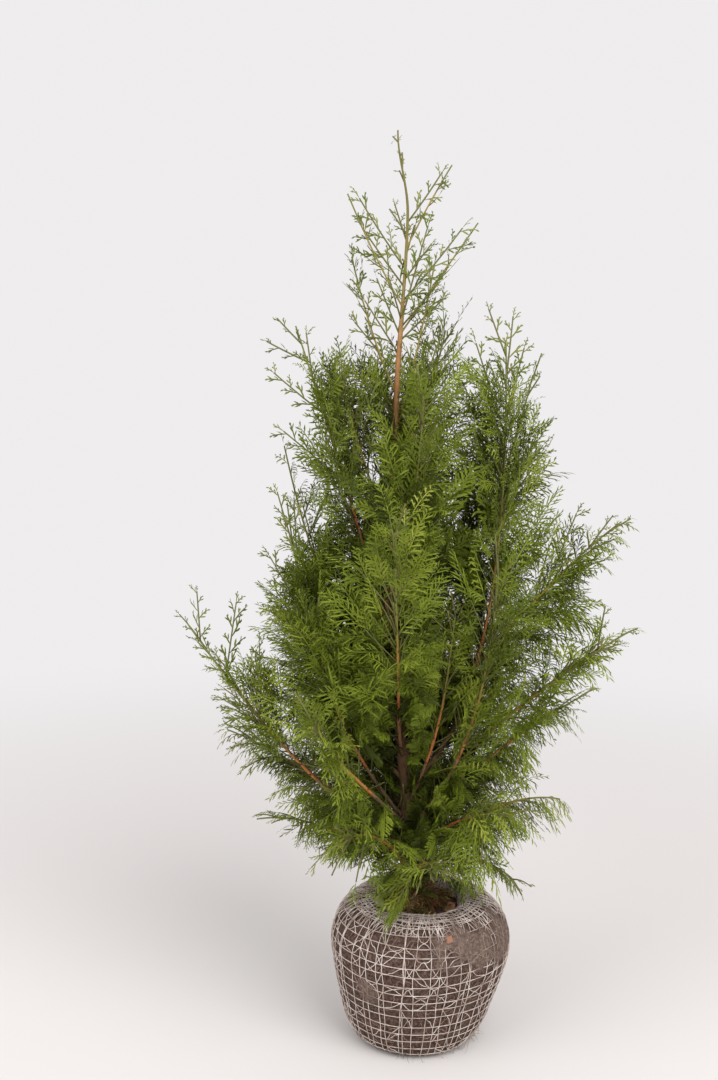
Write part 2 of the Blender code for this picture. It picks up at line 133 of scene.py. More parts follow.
# one value for every point, which materials read by its name
def layAttribute(piece, name, values):
    layer = piece.data.attributes.new(name, "FLOAT", "POINT")
    layer.data.foreach_set("value", np.ascontiguousarray(values, np.float32).ravel())


# what moves a piece and which solids it stands for; slotName, what it is made of, is not used
def settle(piece, slotName, *nodes):
    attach(piece, "root")
    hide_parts(*nodes)


# vectors made one long
def unit(vectors):
    return vectors / np.linalg.norm(vectors, axis=-1, keepdims=True)


# the part of vectors that is square to their aims, also one long
def squareTo(vectors, aim):
    return unit(vectors - aim * (vectors * aim).sum(-1, keepdims=True))


# sides in turn: 1 where a step's number is odd and -1 where it is even
def inTurn(steps):
    return np.where(steps % 2, 1, -1)


# points at an angle round the upright axis, a radius from it and a height
def aroundAxis(turn, radius, height):
    return np.stack([radius * np.cos(turn), radius * np.sin(turn), height + 0 * turn], -1)


# distance along a path at each of its points
def pathLength(path):
    return np.concatenate([[0], np.linalg.norm(np.diff(path, axis=0), axis=1).cumsum()])


# Smooth noise from -1 to 1: random values at the corners of cells, eased between them.
def cellNoise(points, cellSize, seed):
    table = np.random.default_rng(seed).uniform(-1, 1, (32, 32, 32))
    grid = np.asarray(points) / cellSize + 64
    low = np.floor(grid).astype(int)
    share = grid - low
    share = share * share * (3 - 2 * share)
    total = 0
    for corner in np.ndindex(2, 2, 2):
        part = np.where(corner, share, 1 - share).prod(-1)
        x, y, z = np.moveaxis((low + corner) % 32, -1, 0)
        total = total + part * table[x, y, z]
    return total


# noise at a size, and again at half the size and strength, and so on
def layeredNoise(points, cellSize, layers, seed):
    return sum(cellNoise(points, cellSize / 2 ** k, seed + k) / 2 ** k for k in range(layers))


# a curve through rows of values: between two rows, the cubic that keeps the slopes of their neighbours
def smoothRows(rows, share):
    rows = np.asarray(rows, float)
    place = np.clip(share, 0, 1) * (len(rows) - 1)
    k = np.minimum(place.astype(int), len(rows) - 2)
    t = (place - k)[..., None]
    before, a, b, after = (rows[np.clip(k + d, 0, len(rows) - 1)] for d in (-1, 0, 1, 2))
    return ((2 * t ** 3 - 3 * t ** 2 + 1) * a + (t ** 3 - 2 * t ** 2 + t) * (b - before) / 2
            + (3 * t ** 2 - 2 * t ** 3) * b + (t ** 3 - t ** 2) * (after - a) / 2)


# Tubes: a ring of points at radii[tube, ring, side] is carried along each path, square to it, and its
# start is passed on from ring to ring without a twist. Returns points, quads, end faces and corner UV.
def tubes(paths, radii, sides, looped=False):
    count, rings = paths.shape[:2]
    if looped:
        tangent = unit(np.roll(paths, -1, axis=1) - np.roll(paths, 1, axis=1))
    else:
        tangent = unit(np.gradient(paths, axis=1))
    across = np.empty_like(paths)
    carried = np.cross(tangent[:, 0], up if looped else [0.31, 0.95, 0.07])
    for ring in range(rings):
        if looped:
            carried = np.cross(tangent[:, ring], up)
        carried = squareTo(carried, tangent[:, ring])
        across[:, ring] = carried
    other = np.cross(tangent, across)
    turn = 2 * np.pi * np.arange(sides) / sides
    wheel = across[:, :, None] * np.cos(turn)[:, None] + other[:, :, None] * np.sin(turn)[:, None]
    points = paths[:, :, None] + np.broadcast_to(radii, (count, rings, sides))[..., None] * wheel
    starts = np.arange(count)[:, None] * rings * sides
    quads = (starts[..., None] + gridQuads(rings, sides, looped, True)).reshape(-1, 4)
    first = starts + np.arange(sides)[::-1]
    last = starts + (rings - 1) * sides + np.arange(sides)
    length = np.linalg.norm(np.diff(paths, axis=1), axis=-1).cumsum(1)
    length = np.concatenate([np.zeros((count, 1)), length, length[:, -1:]], 1)
    girth = 2 * np.pi * np.broadcast_to(radii, (count, rings, sides)).mean((1, 2)) / sides
    tube, ring, side = (part.ravel() for part in np.indices((count, rings - (not looped), sides)))
    uv = np.stack([np.stack([girth[tube] * (side + a), length[tube, ring + b]], -1)
                   for a, b in ((0, 0), (1, 0), (1, 1), (0, 1))], 1)
    if looped:
        return points.reshape(-1, 3), [quads], uv.reshape(-1, 2)
    ends = np.concatenate([first, last])
    flatUv = np.tile(uv[:1, :1], (1, ends.size, 1))[0]
    return points.reshape(-1, 3), [quads, ends], np.concatenate([uv.reshape(-1, 2), flatUv])


# several sets of tubes put together: all their quads in one group, and the end faces of each in a group
def joinTubes(sets):
    starts = np.cumsum([0] + [len(points) for points, _, _ in sets])
    moved = [[group + start for group in groups] for (_, groups, _), start in zip(sets, starts)]
    quads = np.concatenate([groups[0] for groups in moved])
    ends = [group for groups in moved for group in groups[1:]]
    uvQuads = [uv[:groups[0].size] for _, groups, uv in sets]
    uvEnds = [uv[groups[0].size:] for _, groups, uv in sets]
    return np.concatenate([points for points, _, _ in sets]), [quads] + ends, np.concatenate(uvQuads + uvEnds)


# Camera: a 45 mm lens at the height of the crown's upper part, looking a little down.
cameraPlan = {"place": (-0.1085, -2.04, 1.11), "lens": 45.0, "down": 8.7, "roll": 1.0}
cameraData = bpy.data.cameras.new("camera")
cameraData.lens = cameraPlan["lens"]
cameraData.sensor_width = 36.0
camera = bpy.data.objects.new("camera", cameraData)
sceneRoot.collection.objects.link(camera)
camera.location = cameraPlan["place"]
level = Matrix.Rotation(math.radians(90 - cameraPlan["down"]), 3, "X")
camera.rotation_euler = (level @ Matrix.Rotation(math.radians(cameraPlan["roll"]), 3, "Z")).to_euler()
sceneRoot.camera = camera
sceneRoot.view_settings.view_transform = "Standard"

# Soft daylight studio: a pale world all round, a large lamp high at the right front, a weak one at the left.
lightPlan = {
    "world": "f1eff0", "worldStrength": 0.98, "worldLight": 0.78,
    "lamps": {"key": ((1.9, -2.9, 3.9), 3.4, 190.0), "fill": ((-3.0, -2.4, 3.2), 3.4, 90.0)},
}
world = bpy.data.worlds.new("studio")
sceneRoot.world = world
world.use_nodes = True
background = world.node_tree.nodes["Background"]
background.inputs["Color"].default_value = linearColour(lightPlan["world"])
# seen straight on, the world is a little brighter than the light it gives
ray = addNode(world.node_tree, "ShaderNodeLightPath", {}, {})
worldShare = addNode(world.node_tree, "ShaderNodeMapRange", {},
                     {"Value": (ray, "Is Camera Ray"), "To Min": lightPlan["worldLight"],
                      "To Max": lightPlan["worldStrength"]})
world.node_tree.links.new(worldShare.outputs["Result"], background.inputs["Strength"])
for lampName, (lampPlace, lampSize, lampPower) in lightPlan["lamps"].items():
    lampData = bpy.data.lights.new(lampName, "AREA")
    lampData.size = lampSize
    lampData.energy = lampPower
    lamp = bpy.data.objects.new(lampName, lampData)
    sceneRoot.collection.objects.link(lamp)
    lamp.location = lampPlace
    aimBack = Vector(lampPlace) - Vector((0, 0, 0.6))
    lamp.rotation_euler = aimBack.to_track_quat("Z", "Y").to_euler()

# Floor: a matt painted disc that takes on the world's own paleness away from the plant.
floorPlan = {"radius": 9.0, "sides": 96, "paint": "dcd8d6", "clearFrom": 0.9, "clearTo": 2.6}


def makeFloor():
    turn = 2 * np.pi * np.arange(floorPlan["sides"]) / floorPlan["sides"]
    rim = aroundAxis(turn, floorPlan["radius"], 0)
    material, tree, shader = newMaterial("matt floor paint", 0.75, colour=floorPlan["paint"])
    place = addNode(tree, "ShaderNodeTexCoord", {}, {})
    reach = addNode(tree, "ShaderNodeVectorMath", {"operation": "LENGTH"}, {0: (place, "Object")})
    share = addNode(tree, "ShaderNodeMapRange", {"interpolation_type": "SMOOTHSTEP"},
                    {"Value": (reach, "Value"), "From Min": floorPlan["clearFrom"],
                     "From Max": floorPlan["clearTo"]})
    glow = addNode(tree, "ShaderNodeEmission", {},
                   {"Color": linearColour(lightPlan["world"]), "Strength": lightPlan["worldStrength"]})
    mix = addNode(tree, "ShaderNodeMixShader", {},
                  {"Fac": (share, "Result"), 1: (shader, "BSDF"), 2: (glow, "Emission")})
    tree.links.new(mix.outputs[0], tree.nodes["Material Output"].inputs["Surface"])
    floor = meshPiece("floor", rim, [np.arange(floorPlan["sides"])[None]], [material])


makeFloor()
print("camera, light and floor ready")

# Root ball: the same profile and lumps as its solid, from the flat underside to the soil in the mouth.
ballPlan = {
    # radius and height, from the foot to the mouth
    "profile": [(0.076, 0.000), (0.096, 0.010), (0.112, 0.040), (0.123, 0.080), (0.1345, 0.125),
                (0.1395, 0.165), (0.132, 0.195), (0.117, 0.2135), (0.100, 0.2225), (0.084, 0.2245),
                (0.070, 0.2195), (0.050, 0.210)],
    # lumps round the waist: how many, how high as a share of the radius, and where they start
    "lumps": [(2, 0.014, 0.6), (3, 0.011, 2.1), (5, 0.006, 4.0)],
    "skew": -0.008, "skewHeight": 0.14, "lumpHeight": 0.23,
    "clods": 0.0014, "clodSize": 0.012, "pits": 0.0016, "pitSize": 0.0062, "sunk": 0.0010,
    # smears: angle and height of the middle, half angle and half height
    "smears": [(-54, 0.190, 27, 0.034), (-18, 0.182, 24, 0.034), (-128, 0.116, 10, 0.018),
               (70, 0.15, 20, 0.03), (160, 0.06, 16, 0.02)],
    "smearHeight": 0.0016, "samples": 600,
    # points round the ball, and rings on the underside, the side and the soil in the mouth
    "around": 340, "flatRings": 6, "sideRings": 210, "mouthRings": 16,
}
profileRows = np.array(ballPlan["profile"])
profileCurve = smoothRows(profileRows, np.linspace(0, 1, ballPlan["samples"]))
profileLength = pathLength(profileCurve)


# length along the profile at a radius of its upper half, the shoulder and the mouth
def lengthAt(radius):
    upper = ballPlan["samples"] // 2
    return np.interp(-radius, -profileCurve[upper:, 0], profileLength[upper:])


# A point on the ball: radius and height at a length along the profile, the radius lumpy round the waist,
# the foot moved to the left, and the point lifted along the profile's own outward direction.
def ballPoint(turn, length, lift):
    radius = np.interp(length, profileLength, profileCurve[:, 0])
    height = np.interp(length, profileLength, profileCurve[:, 1])
    slope = np.gradient(profileCurve, axis=0)
    slopeR, slopeZ = (np.interp(length, profileLength, slope[:, k]) for k in (0, 1))
    steep = np.hypot(slopeR, slopeZ)
    waist = np.sin(np.pi * height / ballPlan["lumpHeight"]) * np.clip((radius - 0.090) / 0.012, 0, 1)
    lumps = sum(size * np.sin(count * turn + start) for count, size, start in ballPlan["lumps"])
    wide = radius * (1 + waist * lumps) + lift * slopeZ / steep
    skew = ballPlan["skew"] * np.maximum(0, 1 - height / ballPlan["skewHeight"])
    point = aroundAxis(turn, wide, height - lift * slopeR / steep)
    point[..., 0] += skew
    return point


# noise round the ball, which closes on itself: it runs wide times round a circle, with a row of its own
def noiseRound(turn, row, wide, cellSize, layers, seed):
    return layeredNoise(aroundAxis(turn, wide, row), cellSize, layers, seed)


# How much soil is smeared over the net, 0 to 1: soft ellipses in angle and height with ragged edges.
def smearShare(turn, height):
    total = np.zeros_like(turn)
    ragged = noiseRound(turn, height * 7, 1, 0.16, 3, 40)
    for angle, middle, halfAngle, halfHeight in ballPlan["smears"]:
        away = (np.degrees(turn) - angle + 180) % 360 - 180
        reach = np.hypot(away / halfAngle, (height - middle) / halfHeight) + 0.45 * ragged
        total = np.maximum(total, np.clip(2.6 * (1.05 - reach), 0, 1))
    return total


def earthMaterial():
    # packed field loam, dug up damp: dull brown, crumbly, with pale dried clay where it is smeared
    material, tree, shader = newMaterial("packed loam", 0.95, 1.4, gloss=0.25)
    place = addNode(tree, "ShaderNodeTexCoord", {}, {})
    crumb = addNode(tree, "ShaderNodeTexNoise", {},
                    {"Vector": (place, "Object"), "Scale": 230.0, "Detail": 6.0, "Roughness": 0.75})
    dark = addNode(tree, "ShaderNodeValToRGB", {}, {"Fac": (crumb, "Fac")},
                   [(0.30, "241a16"), (0.46, "4a3a33"), (0.60, "6c574e"), (0.78, "947d72")])
    pale = addNode(tree, "ShaderNodeValToRGB", {}, {"Fac": (crumb, "Fac")},
                   [(0.30, "463932"), (0.50, "68574e"), (0.64, "84736a"), (0.8, "a39388")])
    smear = addNode(tree, "ShaderNodeAttribute", {"attribute_name": "smear"}, {})
    mix = addNode(tree, "ShaderNodeMix", {"data_type": "RGBA"},
                  {"Factor": (smear, "Fac"), 6: (dark, "Color"), 7: (pale, "Color")})
    tree.links.new(mix.outputs[2], shader.inputs["Base Color"])
    bump = addNode(tree, "ShaderNodeBump", {},
                   {"Height": (crumb, "Fac"), "Strength": 0.7, "Distance": 0.0016})
    tree.links.new(bump.outputs[0], shader.inputs["Normal"])
    return material


# Earth: rings run along the profile from the middle of the underside to the middle of the mouth. Clods are
# layered noise on the surface, kept flat underneath, and smears stand up over the net.
def makeEarth():
    around = ballPlan["around"]
    turn = 2 * np.pi * np.arange(around) / around
    foot, mouth = profileRows[0], profileRows[-1]
    length = np.linspace(0, profileLength[-1], ballPlan["sideRings"])
    turnGrid, lengthGrid = np.meshgrid(turn, length)
    base = ballPoint(turnGrid, lengthGrid, 0.0)
    fade = np.clip(base[..., 2] / 0.012, 0, 1)
    smear = smearShare(turnGrid, base[..., 2])
    relief = layeredNoise(base, ballPlan["clodSize"], 4, 11) * ballPlan["clods"] - ballPlan["sunk"]
    pits = np.minimum(0, layeredNoise(base, ballPlan["pitSize"], 2, 21) + 0.15) * ballPlan["pits"]
    lift = fade * (relief + pits * (1 - 0.5 * smear) + ballPlan["smearHeight"] * smear)
    side = ballPoint(turnGrid, lengthGrid, lift)
    share = np.linspace(0.12, 1, ballPlan["flatRings"], endpoint=False)[:, None]
    flat = aroundAxis(turn, share * foot[0], 0 * share) + [ballPlan["skew"], 0, 0]
    share = np.linspace(1, 0.1, ballPlan["mouthRings"] + 1)[1:, None]
    level = aroundAxis(turn, share * mouth[0], mouth[1] + 0 * share)
    level[..., 2] += layeredNoise(level, 0.014, 4, 31) * 0.0050 * np.minimum(1, 4 * (1 - share))
    points = np.concatenate([flat, side, level])
    rings = len(points)
    quads = gridQuads(rings, around, closeColumns=True)
    flatPoints = points.reshape(-1, 3)
    poles = np.array([[ballPlan["skew"], 0, 0], [0, 0, mouth[1]]])
    k = np.arange(around)
    low = np.stack([(k + 1) % around, k, np.full(around, len(flatPoints))], -1)
    high = np.stack([k, (k + 1) % around, np.full(around, len(flatPoints) + 1)], -1)
    high[:, :2] += (rings - 1) * around
    ends = np.concatenate([low, high])
    earth = meshPiece("earth_ball", np.concatenate([flatPoints, poles]), [quads, ends], [earthMaterial()])
    mask = np.concatenate([np.zeros(flat[..., 0].size), smear.ravel(), np.zeros(level[..., 0].size + 2)])
    layAttribute(earth, "smear", mask)
    settle(earth, "earth", "root_ball")


makeEarth()
print("earth ball made")

# Net: cotton strands knotted into a mesh, hoops about 15 mm and uprights about 17 mm apart. Laid-in strands
# run straight from knot to knot in zigzags, most of them on the shoulder, where they make small triangles;
# over the shoulder all draw together into a pale roll round the mouth.
netPlan = {
    "strand": 0.00060, "hoopStep": 0.0150, "firstHoop": 0.026, "uprights": 54, "lift": 0.0012, "mouth": 0.082,
    "laidLow": 0.12, "laidHigh": 0.74, "diagonals": 110, "around": 180,
    "rollStrand": 0.00060, "rollLoops": 10, "rollFrom": 0.062, "rollTo": 0.077, "crest": 0.074,
    "outerLoops": 5, "outerTo": 0.104, "gathers": 130, "gatherStrand": 0.00048,
}


def netMaterial():
    # knotted cotton net: matt off-white yarn, stained brown by the earth where that is smeared over it
    material, tree, shader = newMaterial("knotted cotton net", 0.9)
    place = addNode(tree, "ShaderNodeTexCoord", {}, {})
    stain = addNode(tree, "ShaderNodeTexNoise", {},
                    {"Vector": (place, "Object"), "Scale": 60.0, "Detail": 5.0, "Roughness": 0.65})
    colour = addNode(tree, "ShaderNodeValToRGB", {}, {"Fac": (stain, "Fac")},
                     [(0.3, "a08d82"), (0.45, "cdbcb1"), (0.58, "e8dcd4"), (0.75, "f3ece7")])
    smear = addNode(tree, "ShaderNodeAttribute", {"attribute_name": "smear"}, {})
    mix = addNode(tree, "ShaderNodeMix", {"data_type": "RGBA"},
                  {"Factor": (smear, "Fac"), 6: (colour, "Color"), 7: linearColour("8a776b")})
    tree.links.new(mix.outputs[2], shader.inputs["Base Color"])
    # yarn twist is 0.5 mm and would not show, so it is drawn at 2 mm
    twist = addNode(tree, "ShaderNodeTexWave", {"bands_direction": "DIAGONAL"},
                    {"Vector": (place, "Object"), "Scale": 160.0, "Distortion": 3.0})
    bump = addNode(tree, "ShaderNodeBump", {},
                   {"Height": (twist, "Fac"), "Strength": 0.4, "Distance": 0.0004})
    tree.links.new(bump.outputs[0], shader.inputs["Normal"])
    return material


# strands laid on the ball along rows of angles and lengths, sunk where earth is smeared over them
def layStrands(angle, along, thick, sides, rise=0.0, looped=False):
    height = ballPoint(angle, along, 0)[..., 2]
    lift = netPlan["lift"] + rise - ballPlan["smearHeight"] * smearShare(angle, height)
    path = ballPoint(angle, along, lift)
    path[..., 2] = np.maximum(path[..., 2], 1.2 * thick)
    return tubes(path, thick, sides, looped=looped)


# one piece of net, stained by the earth that is smeared under it
def netPiece(name, sets, material, *nodes):
    points, faces, uv = joinTubes(sets)
    piece = meshPiece(name, points, faces, [material])
    layUv(piece, uv)
    turn = np.arctan2(points[:, 1], points[:, 0] - ballPlan["skew"] / 2)
    layAttribute(piece, "smear", np.clip(0.15 + smearShare(turn, points[:, 2]), 0, 0.9))
    settle(piece, "netting", *nodes)


# the mesh: level hoops, uprights and laid-in strands
def meshStrands(rng, turn):
    mouthLength = lengthAt(netPlan["mouth"])
    hoopLength = np.arange(netPlan["firstHoop"], mouthLength - 0.010, netPlan["hoopStep"])
    rows, count = len(hoopLength), netPlan["uprights"]
    spacing = 2 * np.pi / count

    # length of a hoop at an angle: its own, and a slow waver
    def hoopAt(row, angle):
        waver = noiseRound(angle, row * 3.0, 1, 0.9, 2, 51)
        return np.interp(row, np.arange(rows), hoopLength) + 0.0030 * waver

    turnGrid, rowGrid = np.meshgrid(turn, np.arange(rows) * 1.0)
    hoops = layStrands(turnGrid, hoopAt(rowGrid, turnGrid), netPlan["strand"], 5, looped=True)
    # knots: evenly dealt angles, which wander a little from hoop to hoop
    order = np.arange(count)[:, None]
    start = rng.uniform(-0.20, 0.20, (count, 1))
    wander = rng.normal(0, 0.07, (count, rows)).cumsum(1)
    knot = (order + start + wander) * spacing
    # between knots, straight in angle and length; the first stretch comes from under the ball
    fine = np.linspace(0, rows - 1, (rows - 1) * 4 + 1)
    angle = np.stack([np.interp(fine, np.arange(rows), one) for one in knot])
    along = hoopAt(fine[None] + 0 * angle, angle)
    angle = np.concatenate([angle[:, :1], angle[:, :1], angle], 1)
    along = np.concatenate([np.full((count, 1), 0.003), np.full((count, 1), 0.014), along], 1)
    last = angle[:, -1:] + 0.5 * spacing * rng.uniform(-1, 1, (count, 1))
    angle = np.concatenate([angle, (angle[:, -1:] + last) / 2, last], 1)
    along = np.concatenate([along, (along[:, -1:] + mouthLength) / 2, np.full((count, 1), mouthLength)], 1)
    uprights = layStrands(angle, along, netPlan["strand"] * 0.94, 5, 0.0005)
    # laid-in strands: from each knot to a neighbour's knot a hoop up, left and right in turn, and longer ones
    some, low = (part.ravel() for part in np.indices((count, rows - 1)))
    lean = inTurn(some + low)
    high = low + 1
    likely = np.interp(low / rows, [0.30, 0.60], [netPlan["laidLow"], netPlan["laidHigh"]])
    kept = rng.uniform(0, 1, len(some)) < likely
    extra = netPlan["diagonals"]
    extraLow = rng.integers(0, rows - 2, extra)
    some = np.concatenate([some[kept], rng.integers(0, count, extra)])
    low = np.concatenate([low[kept], extraLow])
    high = np.concatenate([high[kept], extraLow + rng.integers(1, 3, extra)])
    lean = np.concatenate([lean[kept], rng.choice([-1, 1], extra)])
    start = knot[some, low]
    stop = knot[(some + lean) % count, high]
    stop = start + (stop - start + np.pi) % (2 * np.pi) - np.pi
    share = np.linspace(0, 1, 9)
    angle = start[:, None] + (stop - start)[:, None] * share
    along = hoopAt(low[:, None] + (high - low)[:, None] * share, angle)
    return [hoops, uprights, layStrands(angle, along, netPlan["strand"] * 0.9, 4, 0.0008)]


# the roll: loops close together round the mouth, arched over the band, and short gathers across them
def rollStrands(rng, turn):
    inner = np.linspace(netPlan["rollFrom"], netPlan["rollTo"], netPlan["rollLoops"])
    outer = np.linspace(netPlan["rollTo"] + 0.004, netPlan["outerTo"], netPlan["outerLoops"])
    turnGrid, radiusGrid = np.meshgrid(turn, np.concatenate([inner, outer]))
    rowGrid = np.arange(len(radiusGrid))[:, None] * 1.7 + 0 * turn
    radiusGrid = radiusGrid + 0.0034 * noiseRound(turnGrid, rowGrid, 3, 0.8, 3, 71)
    bulge = noiseRound(turnGrid, rowGrid + 40, 4, 0.8, 3, 81)
    arch = np.exp(-((radiusGrid - netPlan["crest"]) / 0.012) ** 2)
    path = ballPoint(turnGrid, lengthAt(radiusGrid), 0.0012 + 0.0040 * arch + 0.0018 * bulge * arch)
    rollTubes = tubes(path, netPlan["rollStrand"], 5, looped=True)
    gathers = netPlan["gathers"]
    base = 2 * np.pi * (np.arange(gathers) + rng.uniform(-0.5, 0.5, gathers)) / gathers
    share = np.linspace(0, 1, 12)
    across = np.linspace(0.060, 0.120, 12) + 0 * base[:, None]
    slant = -inTurn(np.arange(gathers))[:, None] * rng.uniform(0.13, 0.21, (gathers, 1))
    angle = base[:, None] + slant * (share - 0.5)
    arch = np.exp(-((across - netPlan["crest"]) / 0.013) ** 2)
    path = ballPoint(angle, lengthAt(across), 0.0014 + 0.0046 * arch)
    return [rollTubes, tubes(path, netPlan["gatherStrand"], 4)]


def makeNet():
    rng = np.random.default_rng(7)
    turn = 2 * np.pi * np.arange(netPlan["around"]) / netPlan["around"]
    netCotton = netMaterial()
    netPiece("net_strands", meshStrands(rng, turn), netCotton)
    netPiece("net_roll", rollStrands(rng, turn), netCotton, "net_band")


makeNet()
print("net made")

# Roots: fine fibres wander over the earth between the strands, and a few stick out near the foot.
rootPlan = {"fibres": 900, "thick": 0.00026, "steps": 12, "reach": 0.026, "tuft": 26,
            "tuftAngles": [-95, -40, -20, 150, 60]}


def rootMaterial():
    # fine thuja roots: dry, pale brown
    material, tree, shader = newMaterial("fine root fibre", 0.8, 1.45)
    place = addNode(tree, "ShaderNodeTexCoord", {}, {})
    patch = addNode(tree, "ShaderNodeTexNoise", {}, {"Vector": (place, "Object"), "Scale": 25.0})
    colour = addNode(tree, "ShaderNodeValToRGB", {}, {"Fac": (patch, "Fac")},
                     [(0.35, "6b584b"), (0.5, "957d6c"), (0.65, "b89b84")])
    tree.links.new(colour.outputs[0], shader.inputs["Base Color"])
    return material


def makeRoots():
    rng = np.random.default_rng(17)
    count, steps = rootPlan["fibres"], rootPlan["steps"]
    share = np.linspace(0, 1, steps)
    # fibre: angle and length wander from its start as the sum of small random turns
    turn = rng.uniform(0, 2 * np.pi, count)[:, None]
    along = rng.uniform(0.01, profileLength[-1] - 0.01, count)[:, None]
    heading = rng.uniform(0, 2 * np.pi, count)[:, None] + rng.normal(0, 0.45, (count, steps)).cumsum(1)
    step = rootPlan["reach"] / steps * rng.uniform(0.4, 1.4, count)[:, None]
    along = np.clip(along + (step * np.sin(heading)).cumsum(1), 0.004, profileLength[-1])
    radius = np.maximum(0.05, np.interp(along, profileLength, profileCurve[:, 0]))
    turn = turn + (step * np.cos(heading) / radius).cumsum(1)
    arch = np.sin(np.pi * share) * rng.uniform(0.2, 1.6, count)[:, None]
    path = ballPoint(turn, along, 0.0002 + 0.0012 * arch)
    path[..., 2] = np.maximum(path[..., 2], 0.0006)
    fibres = tubes(path, rootPlan["thick"] * rng.uniform(0.7, 1.8, count)[:, None, None], 3)
    # tuft: longer fibres that leave the ball low down and curl out and downwards
    count = rootPlan["tuft"]
    turn = np.radians(rng.choice(rootPlan["tuftAngles"], count) + rng.normal(0, 10, count))[:, None]
    along = rng.uniform(0.010, 0.055, count)[:, None] + 0.012 * share * rng.normal(0, 1, (count, 1))
    out = rng.uniform(0.004, 0.014, count)[:, None] * share ** 1.4
    path = ballPoint(turn + 0.10 * share * rng.normal(0, 1, (count, 1)), along, 0.0005 + out)
    path[..., 2] = np.maximum(0.0016, path[..., 2] - 0.012 * share ** 2)
    tuft = tubes(path, 0.0005 * (1.2 - share)[:, None], 3)
    points, faces, uv = joinTubes([fibres, tuft])
    roots = meshPiece("root_fibres", points, faces, [rootMaterial()])
    layUv(roots, uv)
    settle(roots, "earth", "root_ball")


makeRoots()
print("roots made")

# Trunk: the axis and flare of its solid, and a taper that is a little finer above.
trunkPlan = {
    "soil": 0.210, "top": 1.405,
    "radii": [(0.20, 0.0117), (0.60, 0.0086), (0.80, 0.0062), (1.00, 0.0044), (1.12, 0.0035),
              (1.17, 0.0026), (1.30, 0.0019), (1.405, 0.0011)],
    "flareWidth": 0.0055, "flareHeight": 0.020,
    "bendsX": [(0.0, -0.020), (0.12, -0.026), (0.40, -0.060), (0.66, -0.056), (0.90, -0.045), (1.0, -0.062)],
    "bendsY": [(0.0, 0.000), (0.35, 0.010), (0.70, -0.006), (1.0, 0.004)],
    "sides": 44, "rings": 560, "sunk": 0.008, "strip": 0.0026, "stripLength": 0.030, "relief": 0.00085,
}

# Crown edge: height, furthest left and right, and reach to front and back.
crownEdge = np.array([
    (0.25, -0.120, 0.125, 0.120), (0.30, -0.215, 0.140, 0.190), (0.37, -0.265, 0.205, 0.240),
    (0.48, -0.325, 0.230, 0.260), (0.58, -0.325, 0.275, 0.280), (0.66, -0.360, 0.310, 0.275),
    (0.72, -0.386, 0.318, 0.265), (0.77, -0.290, 0.300, 0.260), (0.84, -0.235, 0.3205, 0.240),
    (0.90, -0.230, 0.240, 0.220), (1.00, -0.235, 0.205, 0.195), (1.10, -0.260, 0.190, 0.170),
    (1.16, -0.210, 0.120, 0.130), (1.25, -0.120, 0.050, 0.085), (1.33, -0.112, 0.020, 0.060),
    (1.41, -0.070, -0.045, 0.020),
])

# Dense edge: where the close foliage ends and only long tips go on, set out as the crown's edge is.
denseEdge = np.array([
    (0.25, -0.098, 0.104, 0.100), (0.30, -0.150, 0.120, 0.160), (0.37, -0.208, 0.156, 0.205),
    (0.48, -0.262, 0.175, 0.225), (0.58, -0.275, 0.215, 0.245), (0.66, -0.262, 0.255, 0.240),
    (0.72, -0.248, 0.245, 0.235), (0.77, -0.212, 0.243, 0.225), (0.84, -0.155, 0.238, 0.205),
    (0.90, -0.142, 0.200, 0.190), (0.98, -0.170, 0.182, 0.170), (1.03, -0.190, 0.155, 0.150),
    (1.07, -0.172, 0.120, 0.130), (1.11, -0.120, 0.055, 0.095), (1.15, -0.090, -0.005, 0.060),
    (1.20, -0.075, -0.030, 0.040), (1.41, -0.068, -0.050, 0.020),
])

